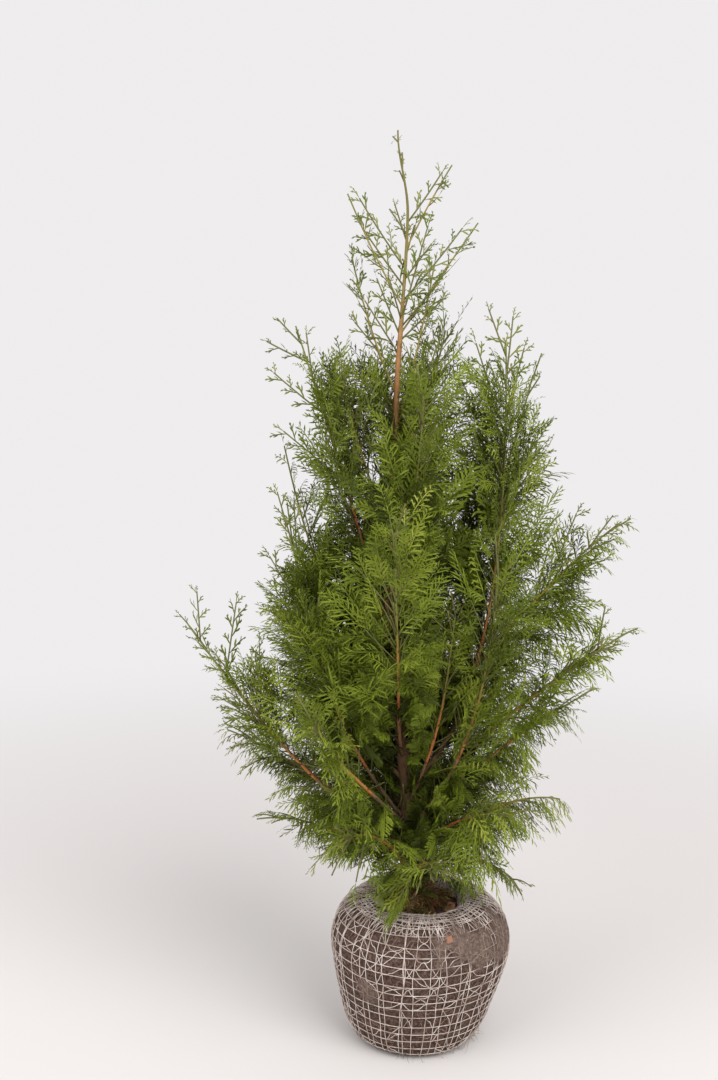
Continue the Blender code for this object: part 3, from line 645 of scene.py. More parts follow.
# Limbs: height on the trunk, way out in degrees, knee and tip as (out, height), spread of the mass, share of
# the limb that is bare bough, radius at the trunk and how much the sprays droop.
Limb = namedtuple("Limb", "name height azimuth knee tip spread bough radius droop", defaults=(0.0,))
limbs = [
    Limb("left_low", 0.262, 183, (0.150, 0.375), (0.250, 0.352), 0.070, 0.0, 0.0024, 0.35),
    Limb("left_skirt", 0.292, 168, (0.150, 0.435), (0.315, 0.480), 0.085, 0.34, 0.0036, 0.30),
    Limb("left_arm", 0.305, 186, (0.165, 0.400), (0.364, 0.700), 0.095, 0.42, 0.0046, 0.10),
    Limb("left_inner", 0.350, 204, (0.130, 0.500), (0.170, 0.700), 0.080, 0.30, 0.0034, 0.10),
    Limb("left_mid", 0.418, 177, (0.155, 0.520), (0.195, 0.888), 0.090, 0.34, 0.0040, 0.05),
    Limb("left_outer", 0.520, 160, (0.130, 0.650), (0.205, 0.965), 0.075, 0.36, 0.0034),
    Limb("left_high", 0.640, 184, (0.068, 0.880), (0.160, 1.146), 0.080, 0.36, 0.0034),
    Limb("right_low", 0.282, 352, (0.150, 0.425), (0.245, 0.400), 0.080, 0.36, 0.0032, 0.40),
    Limb("right_skirt", 0.330, 12, (0.195, 0.510), (0.300, 0.548), 0.090, 0.34, 0.0038, 0.35),
    Limb("right_wing", 0.372, 350, (0.200, 0.590), (0.346, 0.684), 0.090, 0.38, 0.0040, 0.20),
    Limb("right_arm", 0.452, 8, (0.190, 0.720), (0.355, 0.838), 0.085, 0.36, 0.0038, 0.15),
    Limb("right_leader", 0.400, 356, (0.170, 0.560), (0.130, 1.162), 0.080, 0.40, 0.0046),
    Limb("right_outer", 0.560, 22, (0.165, 0.760), (0.232, 1.082), 0.080, 0.36, 0.0034),
    Limb("front_left", 0.345, 232, (0.150, 0.455), (0.235, 0.560), 0.090, 0.34, 0.0036, 0.20),
    Limb("front_right", 0.335, 318, (0.150, 0.470), (0.165, 0.800), 0.085, 0.40, 0.0040, 0.05),
    Limb("front_mid", 0.455, 262, (0.140, 0.560), (0.165, 0.860), 0.080, 0.32, 0.0036, 0.05),
    Limb("front_inner", 0.375, 300, (0.100, 0.500), (0.125, 0.730), 0.075, 0.30, 0.0034, 0.10),
    Limb("front_high", 0.610, 290, (0.080, 0.780), (0.110, 1.040), 0.070, 0.32, 0.0030),
    Limb("back_left", 0.360, 128, (0.165, 0.500), (0.275, 0.640), 0.095, 0.38, 0.0038, 0.20),
    Limb("back_right", 0.392, 50, (0.170, 0.540), (0.270, 0.720), 0.095, 0.38, 0.0038, 0.15),
    Limb("back_mid", 0.490, 98, (0.150, 0.640), (0.200, 0.900), 0.090, 0.34, 0.0036, 0.05),
    Limb("back_high", 0.665, 70, (0.085, 0.850), (0.140, 1.100), 0.075, 0.32, 0.0030),
    Limb("low_front_left", 0.272, 238, (0.115, 0.395), (0.200, 0.372), 0.070, 0.0, 0.0024, 0.35),
    Limb("low_front", 0.250, 282, (0.100, 0.345), (0.172, 0.334), 0.060, 0.0, 0.0022, 0.40),
    Limb("low_front_right", 0.300, 314, (0.125, 0.410), (0.215, 0.420), 0.070, 0.0, 0.0024, 0.30),
    Limb("low_right", 0.240, 338, (0.105, 0.345), (0.180, 0.276), 0.050, 0.0, 0.0020, 0.45),
    Limb("low_back_left", 0.276, 138, (0.120, 0.400), (0.225, 0.392), 0.075, 0.0, 0.0024, 0.35),
    Limb("low_back", 0.256, 88, (0.110, 0.375), (0.205, 0.345), 0.070, 0.0, 0.0024, 0.35),
    Limb("low_back_right", 0.306, 40, (0.130, 0.425), (0.235, 0.430), 0.075, 0.0, 0.0024, 0.30),
    Limb("leader_1", 0.800, 208, (0.060, 0.930), (0.095, 1.060), 0.060, 0.0, 0.0022),
    Limb("leader_2", 0.880, 30, (0.060, 1.000), (0.090, 1.130), 0.055, 0.0, 0.0020),
    Limb("leader_3", 0.960, 330, (0.035, 1.080), (0.060, 1.220), 0.045, 0.0, 0.0018),
    Limb("leader_4", 1.020, 170, (0.045, 1.110), (0.075, 1.235), 0.045, 0.0, 0.0017),
    Limb("leader_5", 1.110, 12, (0.055, 1.190), (0.122, 1.285), 0.035, 0.0, 0.0015),
    Limb("leader_6", 1.150, 196, (0.045, 1.220), (0.092, 1.320), 0.032, 0.0, 0.0014),
    Limb("leader_7", 1.235, 355, (0.030, 1.300), (0.068, 1.362), 0.022, 0.0, 0.0013),
]
limbNamed = {limb.name: limb for limb in limbs}


# value at a share of the way through a table of bends, eased from one to the next
def eased(table, share):
    shares, values = np.array(table).T
    k = np.clip(np.searchsorted(shares, share) - 1, 0, len(shares) - 2)
    t = np.clip((share - shares[k]) / (shares[k + 1] - shares[k]), 0, 1)
    return values[k] + (values[k + 1] - values[k]) * t * t * (3 - 2 * t)


# the middle of the trunk at a height
def trunkAxis(height):
    height = np.asarray(height, float)
    share = (height - trunkPlan["soil"]) / (trunkPlan["top"] - trunkPlan["soil"])
    return np.stack([eased(trunkPlan["bendsX"], share), eased(trunkPlan["bendsY"], share), height], -1)


# radius from the table, with a flare at the soil
def trunkRadius(height):
    over = np.maximum(0, height - trunkPlan["soil"])
    flare = trunkPlan["flareWidth"] * np.exp(-over / trunkPlan["flareHeight"])
    return np.interp(height, *np.array(trunkPlan["radii"]).T) + flare


# left, right and depth of an edge at a height
def edgeAt(edge, height):
    return [np.interp(height, edge[:, 0], edge[:, k]) for k in (1, 2, 3)]


# how far out points lie in the crown: 0 on the trunk's axis and 1 on the edge
def crownShare(points, edge):
    x, y, z = np.moveaxis(points, -1, 0)
    left, right, depth = edgeAt(edge, z)
    axis = trunkAxis(np.clip(z, trunkPlan["soil"], trunkPlan["top"]))
    side = np.where(x > axis[..., 0], right - axis[..., 0], axis[..., 0] - left)
    return np.hypot((x - axis[..., 0]) / side, (y - axis[..., 1]) / depth)


# Limb curve: from the trunk's axis out to the tip past a knee, (1-u)^2, 2u(1-u) and u^2 parts of the three,
# with a small sway to the side.
def limbPoint(limb, u):
    u = np.asarray(u, float)
    angle = math.radians(limb.azimuth)
    out = 2 * u * (1 - u) * limb.knee[0] + u * u * limb.tip[0]
    height = (1 - u) ** 2 * limb.height + 2 * u * (1 - u) * limb.knee[1] + u * u * limb.tip[1]
    sway = 0.05 * limb.tip[0] * u * (1 - u) * np.sin(2 * np.pi * u + limb.azimuth)
    root = trunkAxis(limb.height)
    return np.stack([root[0] + out * math.cos(angle) - sway * math.sin(angle),
                     root[1] + out * math.sin(angle) + sway * math.cos(angle), height], -1)


# radius along a limb, down to 1.1 mm at its tip
def limbRadius(limb, u):
    return limb.radius + (0.0011 - limb.radius) * np.asarray(u, float) ** 0.7


# the limb's direction at u, and a direction square to it, rolled from the level
def fanFrame(limb, u, roll):
    along = unit(limbPoint(limb, u + 0.02) - limbPoint(limb, u - 0.02))
    angle = math.radians(limb.azimuth)
    level = np.array([-math.sin(angle), math.cos(angle), 0])
    across = unit(level - along * (along @ level)[..., None])
    normal = np.cross(along, across)
    return along, np.cos(roll)[..., None] * across + np.sin(roll)[..., None] * normal


# The width direction of a spray that turns its flat side outwards: square to its aim and to the way out of
# the crown, which is shaken a little.
def sprayFrame(root, aim, rng, shake):
    axis = trunkAxis(np.clip(root[..., 2], trunkPlan["soil"], trunkPlan["top"]))
    out = root + 0.05 * aim - axis
    out = unit(out * [1.0, 1.0, 0.0] + [0.0, 0.0, 1e-4]) + [0.0, 0.0, 0.15]
    return unit(np.cross(out + shake * rng.normal(0, 1, root.shape), aim))


# whether points hang low in front of the mouth, on the way from the front viewpoint to it
def hangsLow(points):
    left, right, floor, slope = crownPlan["openFront"]
    x, y, z = np.moveaxis(points, -1, 0)
    return (z < floor - slope * y) & (x > left) & (x < right) & (y < 0.03)


# Draws in shoots that would leave an edge: each is shortened in steps until its end lies inside.
def drawIn(shoots, edge, slack):
    for _ in range(5):
        end = shoots["root"] + shoots["length"][:, None] * (shoots["aim"] + shoots["bend"])
        over = np.maximum(0, crownShare(end, edge) - slack)
        shoots["length"] = shoots["length"] * np.clip(1 - 1.1 * over, 0.55, 1)
    end = shoots["root"] + shoots["length"][:, None] * (shoots["aim"] + shoots["bend"])
    keep = (crownShare(end, edge) < slack + 0.10) & (shoots["length"] > 0.008) & ~hangsLow(end)
    return {key: values[keep] for key, values in shoots.items()}, keep


# outline of a mass: it widens fast from its foot and narrows to its tip
def widthShare(share):
    return np.clip(0.5 + 2.0 * share, 0.3, 1.0) * (1 - np.maximum(share, 0)) ** 0.6


# Bark relief: noise drawn out along the limb, folded so that long flat strips have sharp splits between.
def barkRelief(radius, lengths, sides, strip, stripLength, seed):
    turn = 2 * np.pi * np.arange(sides) / sides
    turnGrid, lengthGrid = np.broadcast_arrays(turn, lengths[..., None])
    where = np.stack([np.cos(turnGrid) * radius[..., None] / strip,
                      np.sin(turnGrid) * radius[..., None] / strip, lengthGrid / stripLength], -1)
    folds, finer = cellNoise(where, 1.0, seed), cellNoise(where * [2, 2, 3], 1.0, seed + 1)
    return 0.6 - 1.7 * np.abs(folds) + 0.5 * finer


def barkMaterial():
    # fibrous bark of a young thuja: dull grey-brown strips low down, smooth red-brown shoots above
    material, tree, shader = newMaterial("fibrous thuja bark", 0.85, 1.45)
    place = addNode(tree, "ShaderNodeTexCoord", {}, {})
    height = addNode(tree, "ShaderNodeSeparateXYZ", {}, {"Vector": (place, "Object")})
    share = addNode(tree, "ShaderNodeMapRange", {}, {"Value": (height, "Z"), "From Max": trunkPlan["top"]})
    low = addNode(tree, "ShaderNodeValToRGB", {}, {"Fac": (share, "Result")},
                  [(0.16, "9c8067"), (0.32, "b58b66"), (0.44, "cb8657"), (0.76, "cf9460"), (0.84, "a89254"),
                   (0.93, "857f42")])
    # fibres are 0.4 mm wide and 20 mm long, drawn twice as wide so that they show
    long = addNode(tree, "ShaderNodeMapping", {}, {"Vector": (place, "UV"), "Scale": (1.0, 0.06, 1.0)})
    fibre = addNode(tree, "ShaderNodeTexNoise", {},
                    {"Vector": (long, "Vector"), "Scale": 1200.0, "Detail": 4.0, "Roughness": 0.6})
    shade = addNode(tree, "ShaderNodeValToRGB", {}, {"Fac": (fibre, "Fac")},
                    [(0.3, "808080"), (0.5, "cccccc"), (0.72, "ffffff")])
    mix = addNode(tree, "ShaderNodeMix", {"data_type": "RGBA", "blend_type": "MULTIPLY"},
                  {"Factor": 0.85, 6: (low, "Color"), 7: (shade, "Color")})
    tree.links.new(mix.outputs[2], shader.inputs["Base Color"])
    bump = addNode(tree, "ShaderNodeBump", {},
                   {"Height": (fibre, "Fac"), "Strength": 0.5, "Distance": 0.0006})
    tree.links.new(bump.outputs[0], shader.inputs["Normal"])
    return material


def makeTrunk():
    foot, top = trunkPlan["soil"] - trunkPlan["sunk"], trunkPlan["top"]
    heights = foot + (top - foot) * np.linspace(0, 1, trunkPlan["rings"]) ** 1.1
    radius = trunkRadius(heights)
    relief = barkRelief(radius, heights, trunkPlan["sides"], trunkPlan["strip"],
                        trunkPlan["stripLength"], 101)
    depth = trunkPlan["relief"] * np.clip(radius / 0.010, 0.05, 1.3)
    rough = radius[:, None] + depth[:, None] * relief
    points, faces, uv = tubes(trunkAxis(heights)[None], rough[None], trunkPlan["sides"])
    trunk = meshPiece("trunk_bark", points, faces, [fibrousBark])
    layUv(trunk, uv)
    settle(trunk, "bark", "trunk")


boughPlan = {"sides": 18, "rings": 90, "relief": 0.00035, "strip": 0.0016, "stripLength": 0.020,
             "collar": 0.5, "collarLength": 0.10}


def makeBoughs():
    carried = [limb for limb in limbs if limb.bough]
    sets = []
    for order, limb in enumerate(carried):
        u = np.linspace(0, limb.bough, boughPlan["rings"])
        path = limbPoint(limb, u)
        radius = limbRadius(limb, u)
        # a collar where it leaves the trunk
        radius = radius * (1 + boughPlan["collar"] * np.exp(-((u / limb.bough) / boughPlan["collarLength"])))
        lengths = pathLength(path)
        relief = barkRelief(radius, lengths, boughPlan["sides"], boughPlan["strip"],
                            boughPlan["stripLength"], 110 + order)
        rough = radius[:, None] + boughPlan["relief"] * relief
        sets.append(tubes(path[None], rough[None], boughPlan["sides"]))
    points, faces, uv = joinTubes(sets)
    boughs = meshPiece("bough_bark", points, faces, [fibrousBark])
    layUv(boughs, uv)
    settle(boughs, "bark", *["bough_" + limb.name for limb in carried])


fibrousBark = barkMaterial()
makeTrunk()
makeBoughs()
print("trunk and boughs made")

# Frond shapes: each a flat feather one unit long. Laterals stand in turn left and right of the axis and bend
# forward and down; branchlets stand in turn along each lateral. Each lateral is a narrow blade of four faces
# and each branchlet a kite of two, or of four on the slender kinds, every one tilted a little on its own rib.
# Short fronds have fewer laterals, so that strands are about 2 mm wide on all of them. A row gives laterals,
# half width, first and last lateral, angle at foot and tip, axis bend, most branchlets and strand width.
frondKinds = {
    "long": [
        (17, 0.31, 0.06, 0.93, 52, 30, 0.08, 3, 0.0190),
        (15, 0.35, 0.08, 0.91, 54, 32, -0.09, 3, 0.0195),
        (18, 0.27, 0.05, 0.93, 40, 22, 0.10, 2, 0.0185),
        (16, 0.33, 0.09, 0.91, 50, 30, -0.06, 3, 0.0190),
        (17, 0.29, 0.06, 0.93, 38, 20, -0.11, 2, 0.0185),
        (15, 0.36, 0.08, 0.91, 56, 34, 0.05, 3, 0.0195),
    ],
    "middling": [
        (11, 0.34, 0.08, 0.90, 50, 30, 0.08, 2, 0.0290),
        (10, 0.38, 0.10, 0.89, 52, 32, -0.07, 2, 0.0290),
        (12, 0.31, 0.07, 0.91, 40, 22, -0.10, 2, 0.0280),
    ],
    "short": [
        (7, 0.36, 0.10, 0.88, 48, 32, 0.06, 1, 0.0440),
        (6, 0.40, 0.14, 0.86, 46, 30, -0.06, 2, 0.0440),
    ],
    # sparse shoots for the crown's open top and its long tips
    "open": [
        (7, 0.30, 0.14, 0.88, 38, 28, 0.09, 2, 0.0280),
        (6, 0.34, 0.18, 0.86, 36, 26, -0.10, 2, 0.0280),
    ],
    "twiglet": [
        (4, 0.36, 0.26, 0.82, 34, 26, 0.09, 0, 0.0600),
        (5, 0.32, 0.20, 0.84, 36, 26, -0.10, 0, 0.0580),
        (3, 0.42, 0.32, 0.76, 32, 24, 0.03, 0, 0.0620),
        (4, 0.34, 0.24, 0.84, 38, 28, -0.05, 1, 0.0560),
    ],
    # slender sprays that droop from the crown's lower edge
    "hook": [
        (15, 0.17, 0.08, 0.93, 40, 24, 0.07, 1, 0.0200),
        (13, 0.20, 0.10, 0.92, 42, 26, -0.07, 1, 0.0210),
    ],
    # close old sprays inside the crown
    "old": [
        (22, 0.30, 0.05, 0.95, 50, 32, 0.04, 4, 0.0310),
        (20, 0.34, 0.08, 0.95, 54, 34, -0.05, 4, 0.0310),
    ],
}
frondPlan = {"axisWidth": 0.85, "branchletLean": 31, "lateralBend": 0.16, "sag": 0.15, "tilt": 0.8,
             "slender": ("open", "twiglet"), "longFrom": 0.072, "middlingFrom": 0.042, "openFrom": 0.045}
styles = {"close": 0, "open": 1, "old": 2, "hook": 3}


# a direction turned by an angle in the plane
def turned(aim, angle):
    return np.stack([np.cos(angle) * aim[:, 0] - np.sin(angle) * aim[:, 1],
                     np.sin(angle) * aim[:, 0] + np.cos(angle) * aim[:, 1]], -1)


# Blades: through rows of points from foot to tip, each inner point split into a pair one width apart, which
# is tilted out of the plane.
def blades(rows, width, tilt):
    count, stops = rows.shape[:2]
    along = rows[:, -1] - rows[:, 0]
    square = unit(np.stack([-along[:, 1], along[:, 0], 0 * along[:, 0]], -1))
    square[:, 2] = tilt
    half = (square * width[:, None] / 2)[:, None]
    inner = rows[:, 1:-1]
    points = np.concatenate([rows[:, :1], inner - half, inner + half, rows[:, -1:]], 1)
    low = np.arange(1, stops - 1)
    high = low + stops - 2
    faces = [(0, low[0], high[0]), (low[-1], 2 * stops - 3, high[-1])]
    for k in range(len(low) - 1):
        faces += [(low[k], low[k + 1], high[k + 1]), (low[k], high[k + 1], high[k])]
    corner = np.arange(count)[:, None, None] * (2 * stops - 2) + np.array(faces)
    return points.reshape(-1, 3), corner.reshape(-1, 3)


# points and faces of one frond, laid flat along x from its foot
def frondShape(kind, seed, slender):
    laterals, halfWidth, first, last, footAngle, tipAngle, axisBend, most, width = kind
    rng = np.random.default_rng(seed)
    order = np.arange(laterals)
    s = first + (last - first) * (order + rng.uniform(-0.2, 0.2, laterals)) / (laterals - 1)
    s = np.clip(s, 0.01, 0.96)
    side = inTurn(order)
    reach = halfWidth * np.minimum(1, 0.55 + 2.0 * s) * (1 - s) ** 0.55 + 0.055
    reach = reach * rng.uniform(0.78, 1.14, laterals)
    angle = np.radians(footAngle + (tipAngle - footAngle) * s) + rng.normal(0, 0.06, laterals)
    foot = np.stack([s, axisBend * s * s], -1)
    aim = np.stack([np.cos(angle), side * np.sin(angle)], -1)
    forward = np.array([frondPlan["lateralBend"], 0])

    # along a lateral: foot + reach (t aim + t^2 forward), sagging as t^2
    def lateralPoint(row, t):
        flat = foot[row] + reach[row, None] * (aim[row] * t[:, None] + forward * t[:, None] ** 2)
        return np.concatenate([flat, -frondPlan["sag"] * (reach[row] * t * t)[:, None]], -1)

    row = np.arange(laterals)
    rows = np.stack([lateralPoint(row, np.full(laterals, t)) for t in (0, 0.36, 0.72, 1.0)], 1)
    parts = [blades(rows, np.full(laterals, width), rng.uniform(-1, 1, laterals) * frondPlan["tilt"])]
    # branchlets along each lateral
    count = np.clip(np.round(most * reach / (halfWidth + 0.06)), min(1, most), most).astype(int)
    row = np.repeat(row, count)
    step = np.concatenate([np.arange(c) for c in count])
    t = (step + 0.55) / (count[row] + 0.2)
    turn = np.radians(frondPlan["branchletLean"]) * inTurn(step) * side[row]
    heading = turned(unit(aim[row] + 2 * forward * t[:, None]), turn + rng.normal(0, 0.08, len(row)))
    size = np.clip(0.42 * reach[row] * (1 - 0.40 * t), 0.040, 0.120) * rng.uniform(0.8, 1.25, len(row))
    size = size * (1.25 if slender else 1.0)
    start = lateralPoint(row, t)
    heading = np.concatenate([heading, np.full((len(row), 1), -0.9 * frondPlan["sag"])], -1) * size[:, None]
    stops = (0.25, 0.75, 1.0) if slender else (0.55, 1.0)
    rows = np.stack([start] + [start + stop * heading for stop in stops], 1)
    thick = np.full(len(row), (0.85 if slender else 0.94) * width)
    parts.append(blades(rows, thick, rng.uniform(-1, 1, len(row)) * frondPlan["tilt"]))
    # axis: one blade through five points
    ends = np.array([0.0, 0.25, 0.50, 0.75, 1.0])
    spine = np.stack([ends, axisBend * ends ** 2, 0 * ends], -1)[None]
    thick = np.array([(1.15 if slender else frondPlan["axisWidth"]) * width])
    parts.append(blades(spine, thick, np.zeros(1)))
    return stackParts(parts)


frondShapes = []
shapesOf = {}
for kindName, variants in frondKinds.items():
    shapesOf[kindName] = len(frondShapes) + np.arange(len(variants))
    slender = kindName in frondPlan["slender"]
    frondShapes += [frondShape(variant, 200 + order, slender)
                    for order, variant in enumerate(variants, len(frondShapes))]
print("frond shapes:", [len(faces) for _, faces in frondShapes], "faces each")


# which shape each frond takes, by its style and length
def dealShapes(fronds, seed):
    draw = np.random.default_rng(seed).uniform(0, 1, len(fronds["length"]))
    length, style = fronds["length"], fronds["style"]
    close, sparse = style == styles["close"], style == styles["open"]
    chosen = [
        (close, "short"), (close & (length > frondPlan["middlingFrom"]), "middling"),
        (close & (length > frondPlan["longFrom"]), "long"), (sparse, "twiglet"),
        (sparse & (length > frondPlan["openFrom"]), "open"), (style == styles["old"], "old"),
        (style == styles["hook"], "hook"),
    ]
    shape = np.zeros(len(length), int)
    for mine, kindName in chosen:
        shape[mine] = shapesOf[kindName][(draw[mine] * len(shapesOf[kindName])).astype(int)]
    return shape


# Greens, from dark ones to the fresh yellow-green of the tips, and the duller ones of the sparse shoots; the
# dark ones are dealt deep inside the crown, partly for the older sprays there and partly as painted shade.
# Each frond takes one plain colour. Scale leaves have a waxy skin, with a soft low gloss.
greens = ["323a0f", "424c13", "535f18", "616f1c", "6d7a21", "798529", "858e33", "60721b", "959b43"]
olives = ["5f6a2c", "6e7638", "7c8046"]
leafGreens = [newMaterial("thuja scale leaf %d" % (order + 1), 0.60, 1.42, code, 0.22)[0]
              for order, code in enumerate(greens + olives)]

# Shoots: thin twigs p(t) = root + length (t aim + t^2 bend), which carry fronds in turn on both sides.
shootPlan = {
    "twigSpacing": 0.0088, "frondSpacing": 0.0135, "frondLean": 0.58, "sinkIn": 0.002,
    "twigShare": 0.46, "frondShare": 0.64, "blade": 0.165, "shake": 0.45, "levelShare": 0.6,
}


# several sets of fronds put together as one
def joinFronds(sets):
    return {key: np.concatenate([more[key] for more in sets]) for key in sets[0]}


# Fronds of a set of shoots: one at each shoot's end and others in turn left and right along it, shorter
# towards its tip. A frond's free is how far it may pass the edge of its mass.
def frondsOnShoots(shoots, rng, spacing, longest, endLength, sparse, droop):
    root, aim, bend, length, across = (shoots[key] for key in ("root", "aim", "bend", "length", "across"))
    count = np.maximum(1, np.round(length / spacing)).astype(int)
    row = np.repeat(np.arange(len(root)), count)
    step = np.concatenate([np.arange(c) for c in count])
    t = np.clip((step + 0.55 + rng.uniform(-0.2, 0.2, len(row))) / count[row], 0.05, 0.97)
    tangent = unit(aim[row] + 2 * t[:, None] * bend[row])
    foot = root[row] + length[row, None] * (t[:, None] * aim[row] + t[:, None] ** 2 * bend[row])
    flat = squareTo(across[row], tangent)
    side = inTurn(step)[:, None]
    lean = (shootPlan["frondLean"] + rng.normal(0, 0.10, len(row)))[:, None]
    sideAim = unit(np.cos(lean) * tangent + side * np.sin(lean) * flat)
    sideSquare = unit(np.cross(np.cross(tangent, flat), sideAim))
    sideLength = longest[row] * (1.0 - 0.45 * t) * rng.uniform(0.75, 1.12, len(row))
    endTangent = unit(aim + 2 * bend)
    endFlat = squareTo(across, endTangent)
    endFoot = root + length[:, None] * (aim + bend)
    frondAim = np.concatenate([sideAim, endTangent])
    square = np.concatenate([sideSquare, endFlat])
    total = len(frondAim)
    shade = rng.normal(0, 1.0, len(root))
    roll = rng.normal(0, 0.32, total)[:, None]
    square = np.cos(roll) * square + np.sin(roll) * np.cross(frondAim, square)
    style = np.where(rng.uniform(0, 1, total) < sparse, styles["open"], styles["close"])
    return {
        "foot": np.concatenate([foot, endFoot]) - shootPlan["sinkIn"] * frondAim, "aim": frondAim,
        "across": square, "length": np.concatenate([sideLength, endLength]), "style": style,
        "curl": rng.normal(-0.05, 0.13, total), "cup": rng.uniform(0.0, 0.30, total),
        "droop": droop * rng.uniform(0.5, 1.2, total), "weep": rng.uniform(0.4, 1.6, total) + 3.0 * droop,
        "light": np.concatenate([shade[row] + 0.5 * t, shade + 0.9]) + rng.normal(0, 0.55, total),
        "free": np.zeros(total),
    }


# points at shares s of fronds: foot + length s aim, lowered by length droop s^2
def alongFronds(fronds, shares):
    s = np.array(shares)
    points = fronds["foot"][:, None] + fronds["length"][:, None, None] * s[:, None] * fronds["aim"][:, None]
    points[..., 2] -= (fronds["droop"] * fronds["length"])[:, None] * s ** 2
    return points


massPlan = {
    # twigs: first (with and without a bare bough) and last along the mass, turn to the next, lean
    "firstOnBough": -0.42, "first": 0.10, "last": 0.93, "turn": 1.2, "leanFrom": 0.50, "leanTo": 0.95,
    # fronds at the stem's own end: where along the limb, lean and lengths
    "endU": [0.66, 0.69, 0.72, 0.75, 0.78, 0.81, 0.84, 0.87, 0.90, 0.93, 0.95], "endLean": 0.62,
    "endLong": 0.066, "endShort": 0.036,
    # how far those fronds may pass the dense edge, usually and on some limbs
    "usualFree": 0.32, "endFree": {"left_outer": 1.0, "left_mid": 0.6, "right_outer": 0.5},
    # spacing of the twigs against the usual, where a mass is closer or more open
    "closeness": {
        "right_wing": 0.85, "right_arm": 0.80, "right_skirt": 0.80, "right_low": 0.85, "left_high": 0.85,
        "left_outer": 0.85, "left_skirt": 0.85, "left_low": 0.8, "leader_1": 1.2, "leader_2": 1.2,
        "leader_3": 2.3, "leader_4": 2.3, "leader_5": 2.8, "leader_6": 2.8, "leader_7": 3.0,
    },
    # upward part of the twigs' aims that is kept, where a mass spreads out level
    "levelling": {
        "right_wing": 0.35, "right_arm": 0.35, "right_skirt": 0.4, "right_low": 0.6, "left_arm": 0.6,
        "left_skirt": 0.4, "left_low": 0.6, "left_mid": 0.75, "back_left": 0.5, "back_right": 0.5,
        "front_left": 0.6,
    },
}


# Where a mass spreads out, a share of its sprays lies level instead: seen edge on, with hanging laterals.
def lieLevel(across, aim, rng, limb):
    level = unit(np.cross(up + 0.2 * rng.normal(0, 1, aim.shape), aim))
    share = shootPlan["levelShare"] if limb.name in massPlan["levelling"] else 0.0
    return np.where(rng.uniform(0, 1, (len(aim), 1)) < share, level, across)


# Side twigs of one mass, by the source's rule: in turn left and right of the stem, rolling round it, leaning
# forward, longest near the foot of the mass and shorter towards its tip.
def growMass(limb, order):
    rng = np.random.default_rng(300 + order)
    atTop = limb.name.startswith("leader")
    twiggy = atTop and limb.name > "leader_2"
    droop = limb.droop + (0.0 if atTop else 0.10)
    whole = limbPoint(limb, np.linspace(limb.bough, 1, 40))
    span = np.linalg.norm(np.diff(whole, axis=0), axis=1).sum()
    spacing = shootPlan["twigSpacing"] * massPlan["closeness"].get(limb.name, 1.0)
    count = max(6, round(span / spacing))
    # the first twigs stand on the outer part of the bare bough, so that the crown closes inside
    first = massPlan["firstOnBough" if limb.bough else "first"]
    count = round(count * (massPlan["last"] - first))
    share = first + (massPlan["last"] - first) * (np.arange(count) + 0.3) / count
    u = limb.bough + (1 - limb.bough) * share
    roll = massPlan["turn"] * np.arange(count) + rng.uniform(-0.4, 0.4, count)
    along, beside = fanFrame(limb, u, roll)
    side = inTurn(np.arange(count))[:, None]
    lean = rng.uniform(massPlan["leanFrom"], massPlan["leanTo"], count)[:, None]
    aim = np.cos(lean) * along + side * np.sin(lean) * beside + (0.12 - 0.5 * droop) * up
    flatten = [1, 1, massPlan["levelling"].get(limb.name, 1.0)]
    aim = unit(aim * flatten)
    blade = shootPlan["blade"] * min(1.0, 0.3 + limb.spread / 0.12)
    reach = (0.5 * limb.spread * widthShare(share) + blade * (0.45 + 0.55 * widthShare(share)))
    reach = reach * rng.uniform(0.72, 1.06, count) * (0.50 if twiggy else 0.9 if atTop else 1.0)
    root = limbPoint(limb, u)
    shoots = {
        "root": root, "aim": aim, "length": shootPlan["twigShare"] * reach,
        "bend": (0.18 - 0.55 * droop) * up + rng.normal(0, 0.05, (count, 3)),
        "across": lieLevel(sprayFrame(root, aim, rng, shootPlan["shake"]), aim, rng, limb),
    }
    shoots, kept = drawIn(shoots, crownEdge if atTop else denseEdge, 0.86)
    frondReach = shootPlan["frondShare"] * reach[kept]
    sparse = 1.0 if twiggy else 0.7 if atTop else 0.0
    fronds = frondsOnShoots(shoots, rng, shootPlan["frondSpacing"] * (1.3 if atTop else 1.0),
                            0.92 * frondReach, frondReach, sparse, droop)
    # the stem's own end: fronds in turn along its last stretch, and one that reaches the limb's tip
    endU = np.array(massPlan["endU"])
    ends = len(endU)
    ahead, beside = fanFrame(limb, endU, rng.uniform(-0.8, 0.8, ends))
    lean = -massPlan["endLean"] * inTurn(np.arange(ends))[:, None]
    lean[-1] = 0
    endAim = unit((np.cos(lean) * ahead + np.sin(lean) * beside) * flatten)
    endFoot = limbPoint(limb, endU)
    tip = limbPoint(limb, 1.0)
    endAim[-1] = unit(tip - endFoot[-1])
    toTip = np.linalg.norm(tip - endFoot[-1])
    lengths = np.linspace(massPlan["endLong"], massPlan["endShort"], ends)
    free = 0.0 if atTop else massPlan["endFree"].get(limb.name, massPlan["usualFree"])
    endFronds = {
        "foot": endFoot, "aim": endAim,
        "across": lieLevel(sprayFrame(endFoot, endAim, rng, shootPlan["shake"]), endAim, rng, limb),
        "length": lengths * min(1.0, 0.4 + limb.spread / 0.13),
        "style": np.full(ends, styles["open" if atTop else "close"]), "curl": np.zeros(ends),
        "cup": np.full(ends, 0.15), "droop": np.full(ends, 0.2 + 1.2 * droop), "weep": np.full(ends, 1.2),
        "light": rng.normal(1.2, 0.6, ends), "free": np.full(ends, free),
    }
    endFronds["length"][-1] = max(0.03, toTip + 0.002)
    return shoots, joinFronds([fronds, endFronds])
